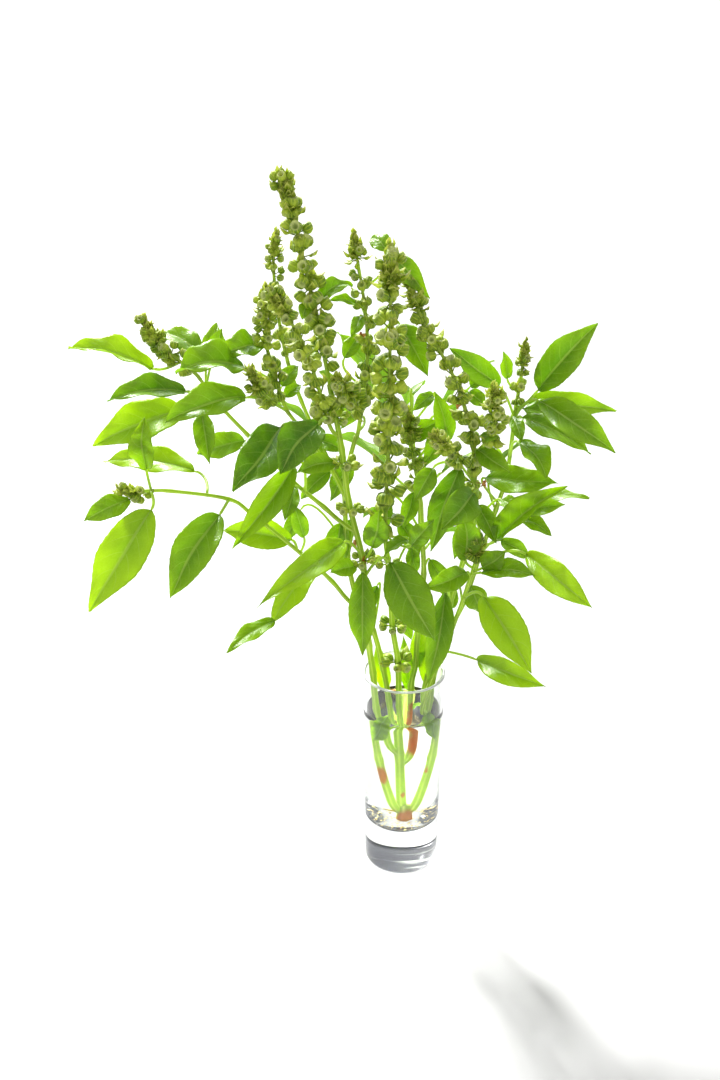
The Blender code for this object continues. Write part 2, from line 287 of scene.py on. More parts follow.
clearLook = {
    "glass": (0.985, 1.0, 0.992, 1), "glassBend": 1.5, "smear": 0.03, "waterBend": 1.33,
    "waterDeep": (0.975, 0.995, 0.95, 1), "waterPale": (0.995, 1.0, 0.985, 1),
    "rimHighlightDim": (0.90, 0.95, 0.90, 1), "rimHighlightBright": (1.0, 1.0, 1.0, 1), "rimHighlightClear": 0.45,
    "footReflectionDark": (0.022, 0.024, 0.033, 1), "footReflectionStreak": (0.62, 0.68, 0.55, 1),
    "reflectionStreakScale": (30, 190, 120),
}


def makeGlassMaterial():
    made, tree = newMaterial("clearGlass")
    patches = useMottle(tree, 45.0, 700.0)[0]
    smear = times(tree, ramp(tree, patches, 0.52, 0.75), clearLook["smear"])
    finishSkin(tree, [("Roughness", smear), ("Base Color", clearLook["glass"]),
                      ("IOR", clearLook["glassBend"]), ("Transmission Weight", 1.0)], patches, 0.02, 0.0003)
    return made


def makeRimHighlightMaterial():
    # the fire-polished lip, with a painted highlight: it is partly opaque and near white, in place of the
    # glare that gathers on it
    made, tree = newMaterial("polishedRim")
    patches, grain = useMottle(tree, 120.0, 900.0)
    color = blendColor(tree, patches, clearLook["rimHighlightDim"], clearLook["rimHighlightBright"])
    finishSkin(tree, [("Base Color", color), ("Roughness", 0.12),
                      ("Transmission Weight", clearLook["rimHighlightClear"])], grain, 0.05, 0.0002)
    return made


def makeFootReflectionMaterial():
    # painted reflection: the underside of the thick base is an opaque dark grey with paler streaks, standing
    # in for the dark band that the base reflects, and it shows through the clear glass above
    made, tree = newMaterial("streakedFoot")
    stretch = addNode(tree, "ShaderNodeMapping", [
        ("Vector", objectPlace(tree)), ("Scale", clearLook["reflectionStreakScale"])])
    reflectionStreaks = addNode(tree, "ShaderNodeTexNoise", [
        ("Vector", stretch.outputs[0]), ("Scale", 1.0), ("Detail", 4.0)]).outputs[0]
    color = blendColor(tree, ramp(tree, reflectionStreaks, 0.54, 0.80), clearLook["footReflectionDark"], clearLook["footReflectionStreak"])
    finishSkin(tree, [("Base Color", color), ("Roughness", 0.2)], reflectionStreaks, 0.1, 0.0002)
    return made


def makeWaterMaterial():
    made, tree = newMaterial("stillWater")
    patches = useMottle(tree, 40.0, 400.0)[0]
    tint = blendColor(tree, patches, clearLook["waterDeep"], clearLook["waterPale"])
    finishSkin(tree, [("Base Color", tint), ("Roughness", 0.0), ("IOR", clearLook["waterBend"]),
                      ("Transmission Weight", 1.0)], patches, 0.03, 0.0005)
    return made


leafMaterial = makeLeafMaterial()
stemMaterial = makeStemMaterial()
cupMaterial = makeCupMaterial("seedCup", cupLook)
budMaterial = makeCupMaterial("budScale", budLook)
hairMaterial = makeHairMaterial()
dryMaterial = makeDryMaterial("dryFlower", (0.30, 0.07, 0.01, 1), (0.85, 0.45, 0.12, 1))
siltMaterial = makeDryMaterial("silt", (0.42, 0.28, 0.05, 1), (0.85, 0.72, 0.30, 1))
glassMaterial = makeGlassMaterial()
rimHighlightMaterial = makeRimHighlightMaterial()
footReflectionMaterial = makeFootReflectionMaterial()
waterMaterial = makeWaterMaterial()
print("materials ready")


def addObject(name, data):
    made = bpy.data.objects.new(name, data)
    bpy.context.scene.collection.objects.link(made)
    return made


def addPiece(name, mesh, slot, *nodes):
    piece = addObject(name, mesh)
    if slot in ("glass", "water"):
        piece.visible_shadow = False    # light goes through to what stands in it
    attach(piece, "root")
    if nodes:
        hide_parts(*nodes)


class MeshBin:
    # gathers grids and tubes into one mesh, with the blade map and the named masks
    def __init__(self):
        self.places, self.faces, self.maps = [], [], []
        self.masks = {"tone": [], "under": [], "ridge": [], "rust": []}
        self.count = 0

    def add(self, places, faces, maps, **masks):
        # places in millimetres, one map pair per place, masks as one number or one per place
        size = len(places)
        self.places.append(np.asarray(places, float))
        self.maps.append(np.asarray(maps, float))
        for name, store in self.masks.items():
            store.append(np.broadcast_to(np.asarray(masks.get(name, 0.0), float), size))
        self.faces += [tuple(corner + self.count for corner in face) for face in faces]
        self.count += size

    def mesh(self, name, material):
        made = bpy.data.meshes.new(name)
        made.from_pydata((np.concatenate(self.places) * mm).tolist(), [], self.faces)
        maps = np.concatenate(self.maps)
        layer = made.uv_layers.new(name="blade")
        corners = np.empty(len(made.loops), int)
        made.loops.foreach_get("vertex_index", corners)
        layer.data.foreach_set("uv", maps[corners].ravel())
        for mask, store in self.masks.items():
            values = np.concatenate(store)
            if values.any():
                made.attributes.new(mask, "FLOAT", "POINT").data.foreach_set("value", values)
        made.shade_smooth()
        made.materials.append(material)
        return made

    def piece(self, name, material, slot, *nodes):
        addPiece(name, self.mesh(name, material), slot, *nodes)


def ringFaces(rings, sides):
    # quads between rings of points, outward where the rings run along the axis and turn anticlockwise
    faces = []
    for ring in range(rings - 1):
        for side in range(sides):
            a, b = ring * sides + side, ring * sides + (side + 1) % sides
            faces.append((a, b, b + sides, a + sides))
    return faces


def frames(path, hint):
    # tangent, across and up at every point of a path
    spots = np.array([tuple(p) for p in path], float)
    along = np.gradient(spots, axis=0)
    along /= np.linalg.norm(along, axis=1)[:, None]
    across = np.cross(along, np.asarray(hint, float))
    across /= np.linalg.norm(across, axis=1)[:, None]
    return spots, along, across, np.cross(across, along)


def addTube(store, path, radii, sides, hint=(0.13, 0.99, 0.05), grooves=0.0, **masks):
    # a closed tube; grooves gives it the four ribs and hollow faces of a square stem
    spots, along, across, up = frames(path, hint)
    turn = np.arange(sides) * 2 * math.pi / sides
    swell = 1 + grooves * np.cos(4 * turn)
    radii = np.broadcast_to(np.asarray(radii, float), len(spots))
    flat = across[:, None] * (np.cos(turn) * swell)[None, :, None]
    flat = flat + up[:, None] * (np.sin(turn) * swell)[None, :, None]
    skin = spots[:, None] + flat * radii[:, None, None]
    places = np.concatenate([skin.reshape(-1, 3), spots[:1], spots[-1:]])
    rings = len(spots)
    faces = [face[::-1] for face in ringFaces(rings, sides)]
    last = rings * sides
    for side in range(sides):
        after = (side + 1) % sides
        faces.append((last, side, after))
        faces.append((last + 1, last - sides + after, last - sides + side))
    share = np.linspace(0, 1, rings)
    maps = np.stack([np.full((rings, sides), 0.5), np.repeat(share[:, None], sides, 1)], 2).reshape(-1, 2)
    maps = np.concatenate([maps, [[0.5, 0], [0.5, 1]]])
    ridge = np.tile(np.clip(np.cos(4 * turn), 0, 1) if grooves else np.full(sides, 0.4), rings)
    named = {"ridge": np.concatenate([ridge, [0.4, 0.4]])}
    for name, value in masks.items():
        value = np.asarray(value, float)
        if value.ndim:
            value = np.concatenate([np.repeat(value, sides), value[:1], value[-1:]])
        named[name] = value
    store.add(places, faces, maps, **named)


stemSet = {
    "step": 2.5, "sides": 16, "grooves": 0.09, "slim": 0.84, "knot": 0.22, "knotReach": 2.2,
    # start radius, end radius, path, all in millimetres
    "crown": (3.2, 2.6, [(1, 0, 25.4), (1, 0, 34.4)]),
    "stem_tall": (1.9, 1.3, [
        (-3, -1, 35), (-9, -3, 63), (-13, -4, 91), (-15, -5, 112), (-17, -10, 130), (-19, -18, 159),
        (-20, -22, 181), (-26, -22, 209), (-29, -22, 234), (-34, -19, 262)]),
    "stem_left": (1.6, 1.1, [
        (-5, 0, 72), (-7, 1, 92), (-10, 2, 110), (-15, -1, 133), (-23, -3, 152), (-27, 1, 173),
        (-28, 2, 200), (-27, 2, 214), (-23, 1, 231)]),
    "stem_middle": (1.9, 1.2, [
        (0, 1, 35), (-1, 1, 65), (-2, 2, 88), (-3, 0, 115), (-6, -8, 139), (-8, -14, 170),
        (-10, -18, 190)]),
    "stem_back": (1.6, 1.2, [
        (3, 4, 66), (4, 7, 96), (6, 9, 108), (7, 9, 132), (9, 9, 158), (7, 8, 186), (6, 8, 201)]),
    "stem_right": (1.9, 1.2, [
        (5, 1, 35), (10, 2, 62), (13, 0, 93), (15, -1, 112), (22, -6, 156), (26, -10, 175),
        (29, -14, 192), (30, -16, 207)]),
    "stem_low_right": (1.3, 0.9, [
        (9, -6, 92), (14, -7, 112), (18, -12, 127), (27, -24, 169), (30, -29, 186)]),
    "stem_outer_right": (1.4, 1.0, [
        (10, 6, 92), (14, 6, 111), (21, 8, 126), (29, 10, 143), (36, 12, 168), (42, 12, 190),
        (46, 10, 209), (48, 7, 242)]),
    "branch_far_left": (1.2, 0.9, [
        (-27, -11, 155), (-34, -12, 165), (-46, -15, 179), (-68, -22, 203), (-78, -25, 212),
        (-102, -30, 218), (-110, -32, 219)]),
    "branch_upper_left": (1.2, 0.9, [
        (-31, -18, 199), (-37, -16, 204), (-52, -10, 215), (-71, 0, 232), (-82, 4, 243), (-93, 8, 257)]),
    "branch_third": (1.2, 0.9, [(-29, -8, 208), (-34, -9, 219), (-43, -12, 234), (-53, -14, 249)]),
    "branch_rear_left": (1.2, 0.9, [(-29, 6, 203), (-40, 20, 221), (-48, 22, 240), (-54, 24, 258)]),
    "branch_rear": (1.1, 0.8, [(9, 12, 160), (8, 28, 185), (4, 42, 214), (3, 50, 236)]),
}
stemNames = [name for name in stemSet if isinstance(stemSet[name], tuple)]

# each flower spike: the number of whorls, their size against the largest, the path to its tip
spikeSet = {
    "neckRadius": 0.9, "tipRadius": 0.55, "crowding": 1.25, "closing": 0.76, "endGap": 0.45,
    "jitter": 0.2, "shrink": 0.34, "tipLength": 13.0, "tipRings": 8, "tipShare": 0.8, "tipShrink": 0.45,
    "spike_tall": (8, 1.0, [
        (-34, -19, 263), (-40, -16, 294), (-44, -14, 312), (-48, -12, 330), (-53, -10, 348)]),
    "spike_left": (5, 0.8, [(-53, -14, 250), (-57, -16, 264), (-60, -18, 280), (-60, -20, 303)]),
    "spike_rear_left": (5, 0.7, [(-54, 24, 259), (-57, 25, 275), (-59, 25, 301), (-57, 25, 316)]),
    "spike_front_left": (6, 0.9, [(-34, -25, 246), (-39, -34, 269), (-45, -41, 289), (-56, -48, 311)]),
    "spike_upper_left": (4, 0.8, [(-94, 8, 258), (-106, 10, 268), (-116, 12, 281)]),
    "spike_centre_left": (6, 0.8, [
        (-22, 1, 233), (-19, 2, 257), (-18, 4, 269), (-19, 6, 287), (-24, 7, 319)]),
    "spike_dark": (3, 1.0, [(-22, -6, 244), (-25, -14, 254), (-31, -30, 268)]),
    "spike_centre": (10, 1.15, [
        (-10, -18, 191), (-10, -22, 210), (-9, -26, 240), (-9, -28, 288), (-9, -26, 322)]),
    "spike_centre_right": (4, 0.8, [(6, 8, 202), (3, 9, 217), (0, 10, 240)]),
    "spike_right": (9, 0.95, [
        (30, -16, 208), (28, -18, 225), (27, -18, 239), (24, -16, 249), (17, -12, 266), (5, -8, 286),
        (-1, -2, 303)]),
    "spike_outer_right": (2, 0.7, [(48, 7, 243), (49, 4, 256), (50, 2, 274)]),
    "spike_inner_right": (3, 0.8, [(34, -24, 236), (35, -30, 248), (33, -38, 268)]),
    "small_left": (2, 0.8, [(-57, -20, 255), (-61, -28, 261), (-66, -36, 275)]),
    "small_far_left": (2, 0.7, [(-111, -32, 219), (-117, -35, 220), (-123, -37, 222)]),
    "small_low_right": (1, 0.8, [(30, -29, 187), (30, -30, 191), (30, -31, 196)]),
    "small_front_right": (2, 0.8, [(24, -25, 229), (17, -34, 239), (8, -44, 249)]),
}
spikeNames = [name for name in spikeSet if isinstance(spikeSet[name], tuple)]

# the point on the parent from which each side shoot leaves
joins = {
    "stem_tall": (1, 0, 30), "stem_middle": (1, 0, 30), "stem_right": (1, 0, 30), "stem_left": (-1.2, 1, 65),
    "stem_back": (-1, 1, 58), "stem_low_right": (12.2, 0.5, 80), "stem_outer_right": (11.5, 1, 78),
    "branch_far_left": (-18.4, -15, 149), "branch_upper_left": (-23.5, -22, 195),
    "branch_third": (-28, 2, 199), "branch_rear_left": (-28, 2, 197), "branch_rear": (9, 9, 155),
    "spike_front_left": (-30, -21, 239), "spike_dark": (-21, 1, 238), "spike_inner_right": (27.5, -18, 228),
    "small_left": (-56, -16, 256), "small_front_right": (27, -18, 224),
}
# leaf scars on the bark, with how far each spreads
scars = [(-8.6, -4.2, 53, 3.4), (0.8, -0.8, 41, 1.3), (4.6, 3.6, 69, 3.6), (5.4, 5.2, 77, 3.4),
         (5.2, 5.6, 84, 2.6), (7.6, 0.2, 55, 1.5), (-19, -23.5, 181, 1.6), (1.6, -1.6, 26, 3.8)]


def fullPath(name, points, step):
    # begins on the parent: at its join, or inside the stem that it carries on from
    start = [joins[name]] if name in joins else []
    if not start and name in spikeSet:
        ends = [stemSet[stem][2] for stem in stemNames]
        near = min(ends, key=lambda path: (Vector(path[-1]) - Vector(points[0])).length)
        if (Vector(near[-1]) - Vector(points[0])).length < 4:
            start = [tuple(Vector(near[-1]).lerp(Vector(near[-2]), 0.15))]
    return smoothPath(start + list(points), step)


def rustAt(places):
    # how scarred the bark is at each point; scars run further along a stem than across it
    worn = np.zeros(len(places))
    for x, y, z, reach in scars:
        far = np.linalg.norm((places - np.array([x, y, z])) * (1, 1, 0.55), axis=1)
        worn = np.maximum(worn, np.clip(1.4 - far / reach, 0, 1))
    return worn


def makeStems():
    look = stemSet
    for name in stemNames:
        start, end, points = look[name]
        path = fullPath(name, points, look["step"])
        radii = np.linspace(start, end, len(path)) * look["slim"]
        knot = np.zeros(len(path))
        for place in points[1:-1]:
            near = np.array([(p - Vector(place)).length for p in path])
            knot = np.maximum(knot, look["knot"] * np.exp(-(near / look["knotReach"]) ** 2))
        store = MeshBin()
        addTube(store, path, radii * (1 + knot), look["sides"], grooves=look["grooves"])
        store.masks["rust"][-1] = rustAt(store.places[-1])
        if name == "crown":
            # the dry spur beside the ragged cut end
            spur = smoothPath([(1, 0, 31), (-3, -2, 31.8), (-7, -3, 33)], 0.8)
            addTube(store, spur, np.linspace(0.8, 0.25, len(spur)), 8, rust=0.45)
        store.piece("bark_" + name, stemMaterial, "stem", name)


makeStems()
print("stems ready")


leafSet = {
    "stations": 40, "half": 7, "skin": 0.17, "fold": 16.0, "teeth": 13, "toothDepth": 0.035,
    "veinDepth": 0.24, "midDepth": 0.35,
    "stalkRadius": 0.62, "stalkClimb": 1.1, "stalkClimbMost": 15.0, "cup": 0.10,
    # what differs from leaf to leaf
    "waves": (0.04, 0.085), "bends": (0.4, 1.9), "folds": (0.7, 1.9), "twistMost": 26, "swayMost": 0.09,
}

# how far a few blades are folded up along their midrib, in degrees
folded = {
    "leaf_08": 44, "leaf_21": 50, "leaf_14": 34, "leaf_03": 34, "leaf_04": 30, "leaf_05": 34, "leaf_09": 30,
}

# each leaf: stem, blade base, tip, width, lean of its face to the front, sideways turn, rise, paleness; the
# paleness is partly the leaf's own colour and partly painted light and shade, low on leaves in shade inside
# the crown and high on lit ones
leafRows = {
    "leaf_01": ("spike_upper_left", (-112, 8, 260), (-145, -6, 274), 17, 25, 0, 3, 0.9),
    "leaf_02": ("branch_upper_left", (-100, 12, 239), (-139, -4, 228), 21, 42, 0, 5, 0.85),
    "leaf_03": ("branch_upper_left", (-97, -2, 253), (-126, -28, 258), 16, 40, 0, 4, 0.3),
    "leaf_04": ("branch_third", (-68, -34, 262), (-99, -54, 258), 19, 35, 0, 5, 0.45),
    "leaf_05": ("spike_left", (-69, -20, 270), (-95, -42, 275), 21, 38, 0, 5, 0.45),
    "leaf_06": ("branch_third", (-54, -29, 247), (-72, -64, 233), 19, 62, 0, 5, 0.12),
    "leaf_07": ("spike_front_left", (-38, -46, 255), (-53, -66, 241), 18, 62, 0, 4, 0.15),
    "leaf_08": ("branch_upper_left", (-49, -26, 228), (-76, -37, 194), 17, 40, 25, 4, 0.6),
    "leaf_09": ("branch_far_left", (-81, -34, 209), (-101, -58, 181), 20, 62, 0, 5, 0.4),
    "leaf_10": ("branch_far_left", (-52, -12, 186), (-83, -10, 190), 16, 60, 0, 4, 0.8),
    "leaf_11": ("branch_far_left", (-44, -26, 178), (-60, -44, 161), 13, 50, 0, 4, 1.0),
    "leaf_12": ("stem_tall", (-28, -30, 194), (-63, -76, 187), 15, 20, 40, 5, 0.8),
    "leaf_13": ("branch_far_left", (-109, -40, 214), (-134, -64, 178), 21, 62, 0, 5, 0.85),
    "leaf_14": ("branch_far_left", (-112, -28, 227), (-110, -34, 253), 13, 62, 0, 4, 0.6),
    "leaf_15": ("branch_far_left", (-94, -10, 219), (-138, 10, 215), 15, 30, 0, 4, 1.0),
    "leaf_16": ("stem_tall", (-20, -28, 178), (-20, -36, 140), 13, 85, 0, 3, 0.45),
    "leaf_17": ("stem_tall", (-8, -34, 186), (11, -54, 158), 20, 64, 0, 5, 0.4),
    "leaf_18": ("stem_right", (18, -14, 160), (10, -28, 120), 13, 70, 0, 4, 0.35),
    "leaf_19": ("spike_right", (21, -28, 228), (9, -40, 194), 14, 62, 0, 4, 0.3),
    "leaf_20": ("spike_right", (27, -34, 219), (12, -56, 212), 16, 62, 0, 4, 0.3),
    "leaf_21": ("stem_right", (39, -24, 192), (63, -52, 230), 18, 50, -20, 4, 0.5),
    "leaf_22": ("stem_low_right", (50, -38, 192), (75, -66, 181), 15, 62, 0, 4, 1.0),
    "leaf_23": ("stem_low_right", (33, -36, 170), (52, -64, 148), 20, 62, 0, 5, 1.0),
    "leaf_24": ("stem_right", (32, -28, 133), (60, -54, 135), 13, 60, 0, 4, 0.75),
    "leaf_25": ("stem_outer_right", (56, -1, 253), (78, -11, 286), 17, 60, -15, 5, 0.35),
    "leaf_26": ("stem_outer_right", (40, 4, 253), (17, -4, 273), 12, 60, 0, 4, 0.35),
    "leaf_27": ("stem_outer_right", (56, -9, 251), (85, -36, 238), 15, 60, 0, 6, 0.4),
    "leaf_28": ("stem_outer_right", (52, 10, 243), (93, 8, 240), 13, 45, 0, 4, 0.6),
    "leaf_29": ("branch_rear", (-4, 40, 222), (-32, 62, 260), 17, -50, 0, 5, 0.5),
    "leaf_30": ("branch_rear", (14, 42, 226), (44, 68, 244), 17, -50, 0, 5, 0.5),
    "leaf_31": ("branch_rear", (-6, 36, 198), (-36, 68, 204), 18, -40, 0, 5, 0.5),
    "leaf_32": ("branch_rear", (18, 38, 198), (50, 64, 196), 18, -40, 0, 5, 0.6),
    "leaf_33": ("branch_rear", (4, 58, 230), (2, 84, 214), 17, -20, 0, 6, 0.5),
}


def stalkRoot(name, base):
    # where the stalk leaves its stem, just inside the bark so that the two join
    isStem = name in stemSet
    start, end, points = stemSet[name] if isStem else spikeSet[name]
    clear = min(start, end) * 0.6 if isStem else spikeSet["neckRadius"] * 0.6
    path = smoothPath(points, 2.0)
    reach = min((place - base).length for place in path)
    lower = base - Vector((0, 0, min(reach * leafSet["stalkClimb"], leafSet["stalkClimbMost"])))
    index = min(range(len(path)), key=lambda i: (path[i] - lower).length)
    along = (path[min(index + 1, len(path) - 1)] - path[max(index - 1, 0)]).normalized()
    outward = base - path[index]
    outward -= along * outward.dot(along)
    return path[index] + outward.normalized() * clear


def nearestStem(base):
    # the stem or spike whose path passes closest to a point
    def reach(name):
        points = (stemSet if name in stemSet else spikeSet)[name][2]
        return min((place - Vector(base)).length for place in smoothPath(points, 4.0))
    return min(stemNames[1:] + spikeNames, key=reach)


def bladeWidth(share):
    # half-width of a pointed oval blade, widest before its middle, with fine teeth
    bell = np.sin(np.pi * np.clip(share, 0, 1) ** 0.80)
    teeth = 1 - leafSet["toothDepth"] * np.mod(share * leafSet["teeth"], 1.0) * (share > 0.12)
    return np.maximum(bell, 0) ** (0.80 + 0.26 * share) * teeth


def addBlade(store, row, seed, folding=None):
    look = leafSet
    stem, base, tip, width, lean, side, rise, tone = row
    base, tip = Vector(base), Vector(tip)
    lean, side = math.radians(lean), math.radians(side)
    face = Vector((math.sin(side), -math.sin(lean), math.cos(lean)))
    crest = (base + tip) / 2 + face * rise * 2
    chance = np.random.default_rng(seed)
    wave, phase, bend = [chance.uniform(*ends) for ends in (look["waves"], (0, 6.28), look["bends"])]
    twist = math.radians(chance.uniform(-look["twistMost"], look["twistMost"]))
    sway = chance.uniform(-look["swayMost"], look["swayMost"]) * width
    share = np.linspace(0, 1, look["stations"]) ** 0.92
    middle = [base.lerp(crest, s).lerp(crest.lerp(tip, s), s) for s in share]
    spots, along, across, up = frames(middle, face)
    turn = (share - 0.3) * twist
    across, up = (across * np.cos(turn)[:, None] + up * np.sin(turn)[:, None],
                  up * np.cos(turn)[:, None] - across * np.sin(turn)[:, None])
    half = np.maximum(width / 2 * bladeWidth(share), 0.12)
    strip = np.linspace(-1, 1, look["half"] * 2 + 1)
    strip = np.sign(strip) * np.abs(strip) ** 0.85
    fold = look["fold"] * chance.uniform(*look["folds"])
    fold = math.radians(fold if folding is None else folding)
    spots = spots + across * (sway * np.sin(math.pi * share) ** 2)[:, None]
    edge = np.abs(strip)[None, :]
    swept = share[:, None] - leafLook["sweep"] * edge ** 1.35
    ribs = np.cos(2 * np.pi * (swept * leafLook["sideVeins"] - 0.5))
    lift = half[:, None] * (edge * math.sin(fold) - look["cup"] * bend * edge ** 2)
    lift = lift - look["veinDepth"] * np.clip(ribs, -0.2, 1) ** 3 * np.sin(np.pi * edge) ** 0.7
    lift = lift - look["midDepth"] * np.exp(-(edge * half[:, None] / 0.7) ** 2)
    lift = lift + wave * width * np.sin(share * 15 + phase)[:, None] * edge ** 2 * np.sign(strip)[None, :]
    reach = half[:, None] * strip[None, :] * math.cos(fold)
    sheet = spots[:, None] + across[:, None] * reach[..., None] + up[:, None] * lift[..., None]
    skin = look["skin"] * (1 - 0.6 * edge ** 3) * np.minimum(1, half[:, None] / 1.5)
    shift = up[:, None] * skin[..., None]
    rows, columns = len(share), len(strip)
    top, bottom = (sheet + shift).reshape(-1, 3), (sheet - shift).reshape(-1, 3)
    size = rows * columns
    faces = []
    for r in range(rows - 1):
        for c in range(columns - 1):
            a = r * columns + c
            faces.append((a, a + 1, a + columns + 1, a + columns))
            faces.append((a + size, a + columns + size, a + columns + 1 + size, a + 1 + size))
        for c, flip in ((0, False), (columns - 1, True)):
            a = r * columns + c
            wall = (a, a + columns, a + columns + size, a + size)
            faces.append(wall[::-1] if flip else wall)
    for r, flip in ((0, True), (rows - 1, False)):
        for c in range(columns - 1):
            a = r * columns + c
            wall = (a, a + 1, a + 1 + size, a + size)
            faces.append(wall if not flip else wall[::-1])
    maps = np.stack(np.broadcast_arrays(strip[None, :] / 2 + 0.5, share[:, None]), 2).reshape(-1, 2)
    store.add(np.concatenate([top, bottom]), faces, np.concatenate([maps, maps]), tone=tone,
              under=np.repeat([0.0, 1.0], size))
    root = stalkRoot(stem, base)
    elbow = base - (crest - base).normalized() * (base - root).length * 0.4
    stalk = [root.lerp(elbow, s).lerp(elbow.lerp(base, s), s) for s in np.linspace(0, 1, 9)[:-1]]
    keel = [Vector(p) for p in spots - up * (0.25 + look["midDepth"])]
    radii = np.concatenate([np.full(len(stalk), look["stalkRadius"]),
                            0.5 * (1 - share) ** 0.8 * look["stalkRadius"] + 0.05])
    addTube(store, stalk + keel, radii * (0.75 + width / 60), 8, hint=face, tone=min(1.0, tone + 0.4))


